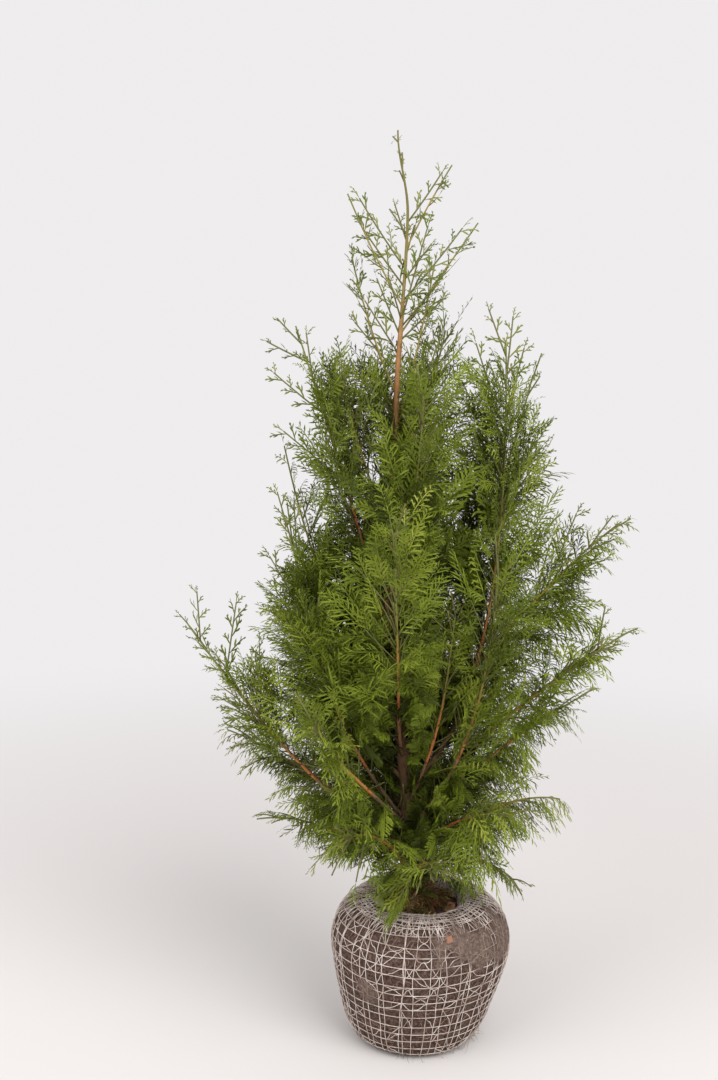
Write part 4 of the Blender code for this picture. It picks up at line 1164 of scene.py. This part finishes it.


# Inner shoots: they stand on the trunk itself a golden angle apart, and close the crown round it. Their
# fronds take darker greens, partly as painted shade; shade is how much darker the deep, old sprays of the
# masses are tinted, partly as painted shade.
innerPlan = {"count": 112, "from": 0.262, "to": 1.00, "turn": 137.5, "share": 0.44, "oldTo": 0.86,
             "oldWithin": 0.43, "shade": 1.0, "airyLeft": -0.085, "airyFrom": 0.60, "airyWithin": 0.24,
             "longest": 0.14, "shortest": 0.035}


# whether points lie at the upper left, where the crown is open enough to be looked into
def inAiry(points):
    return (points[:, 0] < innerPlan["airyLeft"]) & (points[:, 2] > innerPlan["airyFrom"])


def growInner():
    rng = np.random.default_rng(501)
    count = innerPlan["count"]
    height = innerPlan["from"] + (innerPlan["to"] - innerPlan["from"]) * (np.arange(count) + 0.5) / count
    angle = np.radians(innerPlan["turn"]) * np.arange(count)
    left, right, depth = edgeAt(crownEdge, height + 0.05)
    width = np.where(np.cos(angle) > 0, right + 0.05, -left - 0.05)
    reach = np.hypot(np.cos(angle) * width, np.sin(angle) * depth) * innerPlan["share"]
    reach = np.clip(reach, innerPlan["shortest"], innerPlan["longest"]) * rng.uniform(0.75, 1.2, count)
    lean = rng.uniform(0.5, 1.0, count)
    aim = np.stack([np.cos(angle) * np.sin(lean), np.sin(angle) * np.sin(lean), np.cos(lean)], -1)
    root = trunkAxis(height)
    shoots = {
        "root": root, "aim": aim, "length": 0.72 * reach,
        "bend": 0.15 * up + rng.normal(0, 0.06, (count, 3)),
        "across": sprayFrame(root, aim, rng, shootPlan["shake"]),
    }
    blade = np.clip(1.1 * reach, 0.030, 0.095)
    fronds = frondsOnShoots(shoots, rng, shootPlan["frondSpacing"], 0.95 * blade, blade, 0.0, 0.05)
    high = (fronds["foot"][:, 2] > innerPlan["oldTo"]) | inAiry(fronds["foot"])
    fronds["style"] = np.where(high, fronds["style"], styles["old"])
    # painted shade: inner fronds take darker greens, those deep in the crown the darkest, partly for their
    # age
    fronds["light"] -= np.where(high, 0.2, 1.2)
    return shoots, fronds


# Long tips that stand out of the crown: limb or trunk, then for each tip where it leaves it (share of the
# limb or height on the trunk), the tip's x and z, and its arch (up when positive).
longTips = [
    ("left_arm", (0.86, -0.389, 0.692, 0.20), (0.90, -0.353, 0.734, 0.12), (0.80, -0.290, 0.725, 0.05),
     (0.78, -0.362, 0.651, 0.20), (0.72, -0.333, 0.636, 0.20), (0.66, -0.256, 0.669, 0.05)),
    ("left_mid", (0.62, -0.260, 0.787, 0.05), (0.50, -0.253, 0.738, 0.05)),
    ("left_arm", (0.62, -0.324, 0.582, 0.20), (0.56, -0.330, 0.566, 0.20), (0.52, -0.319, 0.544, 0.25)),
    ("left_skirt", (0.80, -0.333, 0.482, 0.25), (0.74, -0.321, 0.505, 0.20), (0.78, -0.319, 0.437, 0.40),
     (0.66, -0.300, 0.398, 0.45)),
    ("left_low", (0.80, -0.270, 0.362, 0.40), (0.70, -0.244, 0.345, 0.40)),
    ("left_high", (0.70, -0.255, 1.062, -0.05), (0.50, -0.244, 0.976, 0.00), (0.85, -0.262, 1.102, -0.05),
     (0.90, -0.243, 1.138, -0.05), (0.80, -0.195, 1.124, -0.05)),
    ("left_mid", (0.85, -0.239, 0.886, -0.05), (0.80, -0.210, 0.882, -0.05)),
    ("left_outer", (0.60, -0.202, 0.858, 0.00)),
    ("right_arm", (0.86, 0.324, 0.836, 0.10), (0.80, 0.296, 0.844, 0.05), (0.70, 0.305, 0.804, 0.25),
     (0.60, 0.296, 0.769, 0.25)),
    ("right_wing", (0.80, 0.265, 0.722, 0.20), (0.86, 0.319, 0.684, 0.15), (0.70, 0.296, 0.664, 0.25),
     (0.60, 0.285, 0.653, 0.25), (0.50, 0.261, 0.637, 0.20)),
    ("right_skirt", (0.60, 0.254, 0.610, 0.10), (0.90, 0.283, 0.554, 0.30)),
    ("right_arm", (0.60, 0.239, 0.861, 0.00)),
    ("right_outer", (0.40, 0.197, 0.921, 0.00), (0.50, 0.204, 0.955, 0.00), (0.55, 0.196, 0.964, 0.00),
     (0.90, 0.174, 1.055, 0.00), (0.93, 0.176, 1.093, 0.00)),
    ("right_leader", (0.90, 0.119, 1.158, -0.05), (0.93, 0.074, 1.164, -0.05), (0.85, 0.140, 1.113, -0.05),
     (0.82, 0.053, 1.125, 0.00)),
    ("trunk", (1.349, -0.055, 1.378, 0.00), (1.273, 0.015, 1.364, -0.08), (1.159, 0.054, 1.291, -0.10),
     (1.130, -0.008, 1.295, 0.00), (1.190, -0.002, 1.252, 0.00), (1.100, 0.023, 1.175, 0.00),
     (1.120, 0.014, 1.200, 0.00), (1.206, -0.130, 1.327, -0.10), (1.180, -0.125, 1.282, -0.05),
     (1.107, -0.096, 1.208, -0.05), (1.080, -0.116, 1.173, 0.00), (1.130, -0.075, 1.201, 0.00),
     (1.245, -0.068, 1.313, 0.00), (1.255, -0.077, 1.301, 0.00), (1.225, -0.032, 1.279, 0.00),
     (1.050, -0.133, 1.141, 0.00), (1.388, -0.070, 1.403, 0.00), (1.330, -0.060, 1.352, 0.00)),
]

# Full sprays that round off the close foliage, set out in the same way; some give the tip's depth (y) too.
fullSprays = [
    ("left_high", (0.45, -0.168, 1.013, -0.05), (0.30, -0.176, 0.972, 0.00), (0.20, -0.162, 0.927, 0.00)),
    ("left_outer", (0.75, -0.175, 0.886, 0.00), (0.60, -0.156, 0.828, 0.10), (0.70, -0.139, 0.905, 0.00)),
    ("left_mid", (0.60, -0.198, 0.765, 0.05)),
    ("left_inner", (0.70, -0.213, 0.718, 0.05)),
    ("right_leader", (0.84, 0.048, 1.056, -0.05), (0.76, 0.043, 1.002, 0.00), (0.70, 0.035, 0.953, 0.00),
     (0.80, 0.062, 0.966, 0.00)),
    ("right_arm", (0.55, 0.200, 0.834, 0.05), (0.62, 0.227, 0.779, 0.10), (0.50, 0.196, 0.725, 0.10),
     (0.58, 0.251, 0.714, 0.15)),
    ("right_wing", (0.72, 0.275, 0.677, 0.10), (0.60, 0.245, 0.648, 0.10)),
    ("right_outer", (0.50, 0.179, 0.864, 0.00), (0.42, 0.188, 0.910, 0.00)),
    ("right_skirt", (0.60, 0.217, 0.568, 0.15), (0.66, 0.228, 0.528, 0.20), (0.72, 0.205, 0.484, 0.25),
     (0.56, 0.181, 0.446, 0.25)),
    ("right_low", (0.72, 0.165, 0.388, 0.20), (0.80, 0.197, 0.364, 0.30), (0.60, 0.129, 0.363, 0.20)),
    ("left_skirt", (0.62, -0.255, 0.438, 0.20), (0.55, -0.242, 0.389, 0.25)),
    ("left_low", (0.70, -0.216, 0.349, 0.30), (0.60, -0.193, 0.299, 0.35)),
    ("low_front_left", (0.80, -0.158, 0.270, 0.35), (0.60, -0.113, 0.257, 0.35)),
    ("low_front", (0.60, -0.026, 0.269, 0.30)),
    ("low_front_right", (0.60, 0.029, 0.290, 0.30), (0.70, 0.076, 0.301, 0.30)),
    ("low_right", (0.70, 0.114, 0.312, 0.30), (0.60, 0.132, 0.279, 0.35)),
    ("trunk", (0.960, -0.123, 1.030, 0.00), (0.990, -0.094, 1.050, 0.00), (0.980, -0.109, 1.083, 0.00)),
    ("left_high", (0.62, -0.134, 1.068, -0.05), (0.66, -0.148, 1.044, 0.00)),
    ("trunk", (0.990, -0.015, 1.040, 0.00), (1.010, -0.035, 1.075, 0.00), (1.000, 0.013, 1.085, 0.00)),
    ("right_leader", (0.72, 0.029, 1.056, -0.05), (0.80, 0.066, 1.057, -0.05), (0.75, 0.052, 1.027, 0.00)),
    ("left_mid", (0.55, -0.217, 0.779, 0.05, -0.040), (0.60, -0.198, 0.812, 0.05, -0.060),
     (0.65, -0.172, 0.836, 0.00, -0.070)),
    ("left_inner", (0.80, -0.194, 0.750, 0.05, -0.085), (0.86, -0.165, 0.771, 0.05, -0.095),
     (0.74, -0.182, 0.711, 0.10, -0.100), (0.70, -0.144, 0.712, 0.05, -0.110),
     (0.62, -0.212, 0.719, 0.10, -0.060), (0.60, -0.167, 0.660, 0.10, -0.110)),
    ("front_mid", (0.60, -0.128, 0.758, 0.05, -0.110), (0.66, -0.119, 0.803, 0.00, -0.100),
     (0.72, -0.145, 0.810, 0.05, -0.090)),
    ("left_outer", (0.70, -0.152, 0.869, 0.00, -0.050)),
    ("right_arm", (0.52, 0.182, 0.647, 0.15), (0.56, 0.212, 0.660, 0.15), (0.60, 0.243, 0.667, 0.15)),
    ("right_wing", (0.60, 0.198, 0.612, 0.10), (0.66, 0.232, 0.632, 0.10), (0.52, 0.168, 0.602, 0.10)),
    ("right_arm", (0.74, 0.221, 0.819, 0.15), (0.80, 0.244, 0.824, 0.15), (0.84, 0.263, 0.804, 0.15),
     (0.70, 0.207, 0.796, 0.15)),
    ("right_outer", (0.80, 0.144, 1.038, 0.00), (0.84, 0.161, 1.019, 0.00), (0.76, 0.153, 0.999, 0.00)),
    ("left_arm", (0.66, -0.290, 0.638, 0.05), (0.62, -0.273, 0.646, 0.05), (0.56, -0.259, 0.623, 0.05),
     (0.64, -0.282, 0.603, 0.05), (0.70, -0.297, 0.614, 0.05)),
    ("left_high", (0.38, -0.201, 0.979, 0.00), (0.44, -0.183, 0.989, 0.00), (0.40, -0.161, 0.973, 0.00),
     (0.64, -0.127, 1.087, 0.00)),
    ("trunk", (1.000, -0.108, 1.091, 0.00)),
    ("left_high", (0.72, -0.170, 1.084, 0.00), (0.60, -0.157, 1.061, 0.00)),
    ("left_low", (0.62, -0.201, 0.303, 0.30), (0.56, -0.184, 0.295, 0.30), (0.50, -0.167, 0.305, 0.30)),
    ("right_low", (0.55, 0.146, 0.325, 0.30), (0.60, 0.170, 0.334, 0.30), (0.66, 0.184, 0.343, 0.30)),
]

# Slender sprays that rise a little from their limbs and hook over, set out in the same way.
hookTips = [
    ("left_arm", (0.74, -0.345, 0.640, 0.25), (0.66, -0.325, 0.593, 0.30), (0.60, -0.330, 0.564, 0.30),
     (0.56, -0.317, 0.544, 0.35), (0.50, -0.296, 0.525, 0.35)),
    ("left_skirt", (0.72, -0.331, 0.484, 0.35), (0.68, -0.319, 0.440, 0.45), (0.60, -0.300, 0.400, 0.50)),
    ("left_low", (0.65, -0.270, 0.364, 0.50), (0.62, -0.246, 0.352, 0.50), (0.56, -0.232, 0.330, 0.55),
     (0.50, -0.208, 0.312, 0.55), (0.44, -0.190, 0.296, 0.55)),
    ("left_skirt", (0.55, -0.284, 0.424, 0.45)),
    ("right_arm", (0.72, 0.322, 0.832, 0.20), (0.66, 0.304, 0.802, 0.30), (0.62, 0.295, 0.768, 0.40),
     (0.56, 0.265, 0.724, 0.40), (0.50, 0.247, 0.734, 0.35)),
    ("right_wing", (0.72, 0.319, 0.684, 0.25), (0.68, 0.300, 0.662, 0.30), (0.64, 0.285, 0.646, 0.35),
     (0.56, 0.256, 0.603, 0.40)),
    ("right_skirt", (0.74, 0.288, 0.552, 0.40), (0.66, 0.262, 0.520, 0.45), (0.55, 0.230, 0.529, 0.40),
     (0.60, 0.240, 0.486, 0.45), (0.52, 0.215, 0.450, 0.45)),
    ("right_low", (0.66, 0.218, 0.361, 0.50), (0.60, 0.191, 0.385, 0.45), (0.55, 0.200, 0.340, 0.50),
     (0.50, 0.172, 0.328, 0.50)),
]

# Sprays that hang over the roll of the net at the front left, with the tip's depth.
hangingSprays = [
    ("low_front", (0.30, -0.060, 0.213, 0.50, -0.128), (0.24, -0.080, 0.236, 0.40, -0.112),
     (0.20, -0.068, 0.240, 0.40, -0.104)),
]


# Kinds of shoots to given tips: share of the way at which the shoot stops, roll, spacing of the fronds, their
# size (share of the whole way, least, most), share of sparse ones, droop, and the limbs that carry more.
tipKinds = {
    "long": {"stop": 0.84, "roll": 0.5, "spacing": 0.0142, "size": (0.40, 0.024, 0.052), "sparse": 1.0,
             "droop": 0.12, "around": ("front", "back", "low")},
    "full": {"stop": 0.62, "roll": 0.8, "spacing": 0.0110, "size": (0.90, 0.035, 0.085), "sparse": 0.0,
             "droop": 0.05, "around": ()},
    "hook": {"stop": 0.42, "roll": 0.3, "spacing": 0.0120, "size": (0.55, 0.030, 0.060), "sparse": 0.0,
             "droop": 0.30, "around": ("back", "front_left", "low_back")},
}


# Shoots to given tips: they stop short of the tip, which the last frond reaches. The shoot's foot lies on
# its limb, and its arch is taken off again along the way.
def growTips(rows, seed, kindName):
    rng = np.random.default_rng(seed)
    kind = tipKinds[kindName]
    root, tip, arch = [], [], []
    for name, where, x, z, rise, *given in [(name, *one) for name, *tips in rows for one in tips]:
        if name == "trunk":
            foot = trunkAxis(where)
            depth = foot[1] + rng.normal(0, 0.018)
        else:
            foot = limbPoint(limbNamed[name], where)
            depth = limbPoint(limbNamed[name], 1.0)[1] + rng.normal(0, 0.012)
        root.append(foot)
        tip.append([x, given[0] if given else depth, z])
        arch.append(rise)
    # more of the same round the rest of the crown, four to a limb
    for limb in limbs:
        if not limb.name.startswith(kind["around"]):
            continue
        for where in (0.66, 0.76, 0.86, 0.94):
            foot = limbPoint(limb, where)
            ahead, beside = fanFrame(limb, where, np.array(rng.uniform(0, 2 * np.pi)))
            size = rng.uniform(0.045, 0.085) * min(1.0, 0.35 + limb.spread / 0.12)
            aim = unit(ahead + rng.uniform(0.3, 0.8) * beside + 0.15 * up)
            root.append(foot)
            tip.append(foot + size * aim - [0, 0, 0.35 * limb.droop * size])
            arch.append(0.2 + 0.6 * limb.droop)
    root, tip, arch = np.array(root), np.array(tip), np.array(arch)
    chord = tip - root
    size = np.linalg.norm(chord, axis=-1)
    start = chord + (arch * size)[:, None] * up
    length = np.linalg.norm(start, axis=-1)
    aim = start / length[:, None]
    bend = (chord - start) / length[:, None]
    level = unit(np.cross(up, aim) if kindName == "hook" else np.cross(aim, [0.0, 1.0, 0.02]))
    roll = rng.normal(0, kind["roll"], len(aim))[:, None]
    stop = kind["stop"]
    shoots = {
        "root": root, "aim": aim, "length": stop * length, "bend": stop * bend,
        "across": np.cos(roll) * level + np.sin(roll) * np.cross(aim, level),
    }
    end = root + stop * length[:, None] * (aim + stop * bend)
    toTip = np.linalg.norm(tip - end, axis=-1)
    share, least, most = kind["size"]
    fronds = frondsOnShoots(shoots, rng, kind["spacing"], np.clip(share * size, least, most), toTip,
                            kind["sparse"], kind["droop"])
    ends = slice(-len(root), None)
    fronds["aim"][ends] = unit(tip - end)
    if kindName == "hook":
        # the last spray starts higher by as much as it droops
        raised = tip - end + (0.45 * toTip)[:, None] * up
        given = {"aim": unit(raised), "length": np.linalg.norm(raised, axis=-1), "droop": 0.40,
                 "style": styles["hook"], "curl": 0.0, "weep": 1.5}
        for key, values in given.items():
            fronds[key][ends] = values
    return shoots, fronds


crownPlan = {
    # limits of every spray's tip, in x and in y
    "left": -0.391, "right": 0.331, "front": -0.246, "behind": 0.280,
    # stretches of stem that the foliage in front of them leaves bare: limb or trunk, from and to
    "bare": [("trunk", 0.35, 0.50), ("trunk", 0.64, 0.72), ("trunk", 0.98, 1.10), ("left_arm", 0.38, 0.54),
             ("right_leader", 0.10, 0.26), ("right_leader", 0.42, 0.62), ("front_inner", 0.50, 0.85),
             ("left_inner", 0.06, 0.36), ("front_left", 0.28, 0.42), ("front_mid", 0.62, 0.78),
             ("right_outer", 0.22, 0.36), ("left_high", 0.32, 0.46)],
    "bareReach": 0.011,
    # no foliage hangs low in front of the mouth: from, to, lowest tip over it, and its rise to the front
    "openFront": (-0.058, 0.060, 0.246, 0.43),
    # spots where the crown is open from the front: x and z on the plane y = 0, half width, half height
    "skyGap": [(-0.086, 0.904, 0.015, 0.023)],
    # spots that only sets with this much slack may cross
    "thin": [(0.116, 1.031, 0.015, 0.019), (-0.293, 0.530, 0.027, 0.032), (0.301, 0.639, 0.037, 0.021),
             (0.244, 0.557, 0.031, 0.021), (0.246, 0.764, 0.034, 0.019), (-0.177, 0.812, 0.015, 0.028),
             (-0.238, 0.351, 0.035, 0.020), (-0.153, 0.257, 0.048, 0.020), (-0.101, 0.264, 0.019, 0.023)],
    "crossingSlack": 1.5,
}


# whether fronds pass in front of or behind an open spot, as seen from the front viewpoint
def crossesOpen(fronds, spots):
    eye = np.array(cameraPlan["place"])
    away = alongFronds(fronds, [0.35, 0.65, 0.95]) - eye
    flat = eye + away * (-eye[1] / away[..., 1:2])
    crosses = np.zeros(len(flat), bool)
    for x, z, halfWidth, halfHeight in spots:
        off = np.hypot((flat[..., 0] - x) / halfWidth, (flat[..., 2] - z) / halfHeight)
        crosses |= (off < 1).any(1)
    return crosses


# Whether a frond lies between the front viewpoint and a stretch of stem that stays bare: both are laid on one
# upright plane as seen from there.
def coversStem(fronds):
    eye = np.array(cameraPlan["place"])

    def seen(points):
        away = points - eye
        return away[..., [0, 2]] / away[..., 1:2], away[..., 1]

    flat, depth = seen(alongFronds(fronds, [0.15, 0.4, 0.65, 0.9]))
    covers = np.zeros(len(flat), bool)
    for name, start, stop in crownPlan["bare"]:
        share = np.linspace(start, stop, 14)
        stem = trunkAxis(share) if name == "trunk" else limbPoint(limbNamed[name], share)
        stemFlat, stemDepth = seen(stem)
        gap = np.linalg.norm(flat[:, :, None] - stemFlat, axis=-1)
        near = (gap * stemDepth < crownPlan["bareReach"]) & (depth[:, :, None] < stemDepth - 0.002)
        covers |= near.any((1, 2))
    return covers


# Keeps the fronds whose tips stay within an edge, after drawing in those that pass it a little. The thin
# spots are kept clear too, except in a set where some fronds may pass the edge far: long tips, hooked and
# hanging sprays, and the masses at the upper left.
def keepInside(fronds, edge, slack):
    slack = slack + fronds["free"]
    share = crownShare(alongFronds(fronds, [1.0])[:, 0], edge)
    fronds["length"] = fronds["length"] * np.clip(1.0 - 1.8 * (share - slack), 0.62, 1.0)
    tip = alongFronds(fronds, [1.0])[:, 0]
    x, y, z = tip.T
    keep = (crownShare(tip, edge) < slack + 0.12) & (z < trunkPlan["top"]) & (fronds["length"] > 0.012)
    keep &= (x > crownPlan["left"]) & (x < crownPlan["right"])
    keep &= (y > crownPlan["front"]) & (y < crownPlan["behind"])
    keep &= ~(hangsLow(tip) & (fronds["free"] < 1))
    keep &= ~coversStem(fronds) & ~crossesOpen(fronds, crownPlan["skyGap"])
    if slack.max() < crownPlan["crossingSlack"]:
        keep &= ~crossesOpen(fronds, crownPlan["thin"])
    fronds["depth"] = crownShare(fronds["foot"], crownEdge)
    return {key: values[keep] for key, values in fronds.items()}


# Fronds in place: foot + length (s aim + w across + (n + curl s^2 - cup |w|) normal), lowered by
# length (droop s^2 + weep w^2).
def frondPiece(name, fronds, materials, slotName, replaced):
    shapes = dealShapes(fronds, len(name))
    parts, tints = [], []
    for order, (shape, faces) in enumerate(frondShapes):
        mine = shapes == order
        if not mine.any():
            continue
        foot, aim, across = (fronds[key][mine][:, None] for key in ("foot", "aim", "across"))
        length, curl, cup, droop, weep = (fronds[key][mine][:, None]
                                          for key in ("length", "curl", "cup", "droop", "weep"))
        across = squareTo(across, aim)
        normal = np.cross(aim, across)
        s, w, n = shape.T
        off = (n + curl * s * s - cup * np.abs(w))[..., None]
        placed = foot + length[..., None] * (aim * s[:, None] + across * w[:, None] + normal * off)
        placed[..., 2] -= length * (droop * s * s + weep * w * w)
        starts = np.arange(mine.sum())[:, None, None] * len(shape)
        parts.append((placed.reshape(-1, 3), (faces + starts).reshape(-1, 3)))
        tints.append(np.repeat(fronds["tint"][mine], len(faces)))
    points, corners = stackParts(parts)
    piece = meshPiece(name, points, [corners], materials, np.concatenate(tints), smooth=False)
    settle(piece, slotName, *replaced)
    print(name, "has", len(fronds["length"]), "fronds and", len(corners), "faces")
    return len(corners)


# pieces of foliage, each with how the names of its masses start
massGroups = {
    "sprays_left_lower": ("left_low", "left_skirt", "left_arm", "left_inner"),
    "sprays_left_upper": ("left_mid", "left_outer", "left_high"),
    "sprays_right_lower": ("right_low", "right_skirt", "right_wing"),
    "sprays_right_upper": ("right_arm", "right_leader", "right_outer"),
    "sprays_front": ("front",),
    "sprays_back": ("back",),
    "sprays_low": ("low",),
    "sprays_leader": ("leader",),
}

# Stems run on through the masses, brown at first and green at their ends; youngest is how green the brown
# part of some is. Twigs are thick at their foot and thin at their end: side twigs, and those to placed tips.
stemPlan = {"sides": 7, "rings": 40, "end": 0.95, "greenFrom": 0.35, "greenOver": 0.5, "leaderYoungest": 0.6,
            "youngest": {"right_arm": 0.4, "right_wing": 0.4}}
twigPlan = {"sides": 4, "rings": 6, "side": (0.0011, 0.0006), "placed": (0.0014, 0.0011)}


def stemMaterial():
    # young thuja stems: smooth orange-brown bark, olive green towards their tips
    material, tree, shader = newMaterial("young thuja stem", 0.65, 1.45)
    age = addNode(tree, "ShaderNodeAttribute", {"attribute_name": "age"}, {})
    colour = addNode(tree, "ShaderNodeValToRGB", {}, {"Fac": (age, "Fac")},
                     [(0.0, "cb7846"), (0.35, "c07c42"), (0.62, "877c3a"), (1.0, "6f7334")])
    tree.links.new(colour.outputs[0], shader.inputs["Base Color"])
    return material


def twigMaterial():
    # this year's twigs: still green under a thin brown skin
    return newMaterial("green thuja twig", 0.55, 1.45, "6b6a36")[0]


# tint of each frond: lighter at shoot ends, painted light at the crown's edge and painted shade deep inside
# it, and olive on sparse shoots
def dealTints(fronds, seed):
    rng = np.random.default_rng(seed)
    # painted light and shade: the depth term lightens fronds near the crown's edge and darkens those deep
    # inside
    light = 3.2 + 1.0 * fronds["light"] + 2.2 * (fronds["depth"] - 0.55)
    green = np.clip(np.round(light + rng.normal(0, 0.8, len(light))), 0, len(greens) - 1).astype(int)
    olive = len(greens) + rng.integers(0, len(olives), len(light))
    return np.where(fronds["style"] == styles["open"], olive, green)


# twigs along p(t) = root + length (t aim + t^2 bend)
def twigTubes(shoots, thickness):
    t = np.linspace(0, 1, twigPlan["rings"])[:, None]
    curve = t * shoots["aim"][:, None] + t * t * shoots["bend"][:, None]
    path = shoots["root"][:, None] + shoots["length"][:, None, None] * curve
    return tubes(path, np.linspace(*thickness, twigPlan["rings"])[:, None], twigPlan["sides"])


# Litter in the mouth of the ball: dead sprays, dry and brown, that lie on the soil or still stand on the foot
# of the trunk, with a curled leaf among them, and a flake of bark on the smeared shoulder.
litterPlan = {
    "lying": 120, "standing": 84, "reach": 0.060, "ground": 0.2105, "onTrunk": (0.216, 0.262),
    "browns": ["4a3726", "66492e", "8f6c40", "b59a5e", "7d5530", "6b6226", "4f5a20"],
    # middle, long direction, the side it shows, length, width and its own colour
    "leaf": ((0.045, -0.020, 0.2172), (0.8, -0.1, 0.6), (-0.3, -0.7, 0.6), 0.020, 0.015, "a0765c"),
    "flake": ((0.0383, -0.1178, 0.2083), (0.4, 0.62, 0.5), (0.23, -0.70, 0.68), 0.015, 0.0095, "9a6f5a"),
}


def deadMaterial(name, code):
    # shed thuja sprays: dead and dry, without any gloss
    return newMaterial(name, 0.9, 1.4, code)[0]


# Curled scrap: p(u, v) = middle + length u along + width (1 - u^2)^0.6 (1 + 0.3 sin(4u + 1)) v across + curl
# (u^2 - 0.6 v^2 + 0.3 u v) normal, with two sides.
def curledScrap(name, middle, along, shown, length, width, code):
    along = unit(np.array(along))
    across = unit(np.cross(shown, along))
    normal = np.cross(along, across)
    u, v = np.meshgrid(np.linspace(-1, 1, 15), np.linspace(-1, 1, 9))
    wide = width / 2 * np.maximum(0.02, 1 - u * u) ** 0.6 * (1 + 0.3 * np.sin(4 * u + 1))
    face = (np.array(middle) + (u * length / 2)[..., None] * along + (wide * v)[..., None] * across
            + (0.12 * length * (u * u - 0.6 * v * v + 0.3 * u * v))[..., None] * normal)
    thick = 0.0004 * np.sqrt(np.maximum(0, 1 - v * v))[..., None] * normal
    rim = np.concatenate([face + thick, (face - thick)[::-1]])
    rows, columns = rim.shape[:2]
    quads = gridQuads(rows, columns, closeRows=True)
    first = np.arange(rows) * columns
    caps = np.stack([first[::-1], first + columns - 1])
    scrap = meshPiece(name, rim.reshape(-1, 3), [quads, caps], [deadMaterial(name.replace("_", " "), code)])
    settle(scrap, "earth", "root_ball")


def makeLitter():
    rng = np.random.default_rng(811)
    lying, standing = litterPlan["lying"], litterPlan["standing"]
    count = lying + standing
    turn = rng.uniform(0, 2 * np.pi, count)
    out = litterPlan["reach"] * np.sqrt(rng.uniform(0.04, 1, count))
    heading = rng.uniform(0, 2 * np.pi, count)
    rise = np.abs(rng.normal(0.20, 0.25, count))
    ground = litterPlan["ground"] + rng.uniform(0, 0.008, count)
    foot = aroundAxis(turn, out, ground)
    length = rng.uniform(0.018, 0.042, count)
    # standing ones grow from the trunk's foot, up and outwards
    axis = trunkAxis(rng.uniform(*litterPlan["onTrunk"], count))
    stands = np.arange(count) >= lying
    foot[stands] = axis[stands]
    rise[stands] = rng.uniform(0.1, 1.6, standing)
    length[stands] = rng.uniform(0.040, 0.074, standing)
    aim = unit(np.stack([np.cos(heading), np.sin(heading), rise], -1))
    # turned back towards the middle where a spray would reach the net
    tip = foot + length[:, None] * aim
    far = (np.hypot(tip[:, 0], tip[:, 1]) > litterPlan["reach"] + 0.004) & ~stands
    aim[far, :2] = -foot[far, :2] / np.linalg.norm(foot[far, :2], axis=-1, keepdims=True)
    aim = unit(aim)
    litter = {
        "foot": foot, "aim": aim, "across": unit(np.cross(aim, up + 0.5 * rng.normal(0, 1, (count, 3)))),
        "length": length, "style": np.full(count, styles["close"]), "curl": rng.normal(0, 0.25, count),
        "cup": rng.uniform(-0.4, 0.4, count), "droop": np.where(stands, 0.3, 0.0),
        "weep": np.where(stands, 0.6, 0.0), "tint": rng.integers(0, len(litterPlan["browns"]), count),
    }
    browns = [deadMaterial("shed dry spray %d" % (order + 1), code)
              for order, code in enumerate(litterPlan["browns"])]
    frondPiece("shed_sprays", litter, browns, "earth", ["root_ball"])
    curledScrap("dry_leaf", *litterPlan["leaf"])
    curledScrap("bark_flake", *litterPlan["flake"])


def makeFoliage():
    stemSets, twigSets, stemAges = [], [], []
    everyMass = [limb.name for limb in limbs]
    total = 0
    for name, starts in massGroups.items():
        members = [limb for limb in limbs if limb.name.startswith(starts)]
        leader = name == "sprays_leader"
        sets = []
        for limb in members:
            shoots, fronds = growMass(limb, limbs.index(limb))
            sets.append(fronds)
            twigSets.append(twigTubes(shoots, twigPlan["side"]))
            u = np.linspace(limb.bough, stemPlan["end"], stemPlan["rings"])
            radius = limbRadius(limb, u)[None, :, None]
            stemSets.append(tubes(limbPoint(limb, u)[None], radius, stemPlan["sides"]))
            youngest = stemPlan["leaderYoungest"] if leader else stemPlan["youngest"].get(limb.name, 0.0)
            age = np.clip((u - stemPlan["greenFrom"]) / stemPlan["greenOver"], youngest, 1)
            stemAges.append(np.repeat(age, stemPlan["sides"]))
        fronds = keepInside(joinFronds(sets), crownEdge if leader else denseEdge, 1.0)
        # deep in the crown the sprays are old and close, and their tints are darker, partly for their age and
        # partly as painted shade
        within = np.where(inAiry(fronds["foot"]), innerPlan["airyWithin"], innerPlan["oldWithin"])
        deep = (fronds["depth"] < within) & (fronds["foot"][:, 2] < innerPlan["oldTo"])
        fronds["style"] = np.where(deep, styles["old"], fronds["style"])
        fronds["light"] -= np.where(deep, innerPlan["shade"], 0.0)
        fronds["tint"] = dealTints(fronds, len(name))
        total += frondPiece(name, fronds, leafGreens, "foliage", [limb.name for limb in members])
    others = {
        "sprays_inner": (growInner(), denseEdge, 1.0),
        "sprays_full": (growTips(fullSprays, 701, "full"), crownEdge, 1.05),
        "sprays_hanging": (growTips(hangingSprays, 711, "full"), crownEdge, 1.5),
        "sprays_hooked": (growTips(hookTips, 721, "hook"), crownEdge, 1.5),
        "sprays_outline": (growTips(longTips, 601, "long"), crownEdge, 1.6),
    }
    for name, ((shoots, fronds), edge, slack) in others.items():
        twigSets.append(twigTubes(shoots, twigPlan["placed"]))
        # those over the roll may hang low in front of the mouth
        fronds["free"] = fronds["free"] + (name == "sprays_hanging")
        fronds = keepInside(fronds, edge, slack)
        fronds["tint"] = dealTints(fronds, len(name))
        total += frondPiece(name, fronds, leafGreens, "foliage", everyMass)
    wood = {"mass_stems": (stemSets, stemMaterial()), "mass_twigs": (twigSets, twigMaterial())}
    for name, (sets, material) in wood.items():
        points, faces, uv = joinTubes(sets)
        piece = meshPiece(name, points, faces, [material])
        layUv(piece, uv)
        if sets is stemSets:
            layAttribute(piece, "age", np.concatenate(stemAges))
        settle(piece, "bark", *everyMass)
        total += 2 * len(faces[0])
    print("faces of foliage, stems and twigs:", total)


makeLitter()
makeFoliage()
print("foliage made")
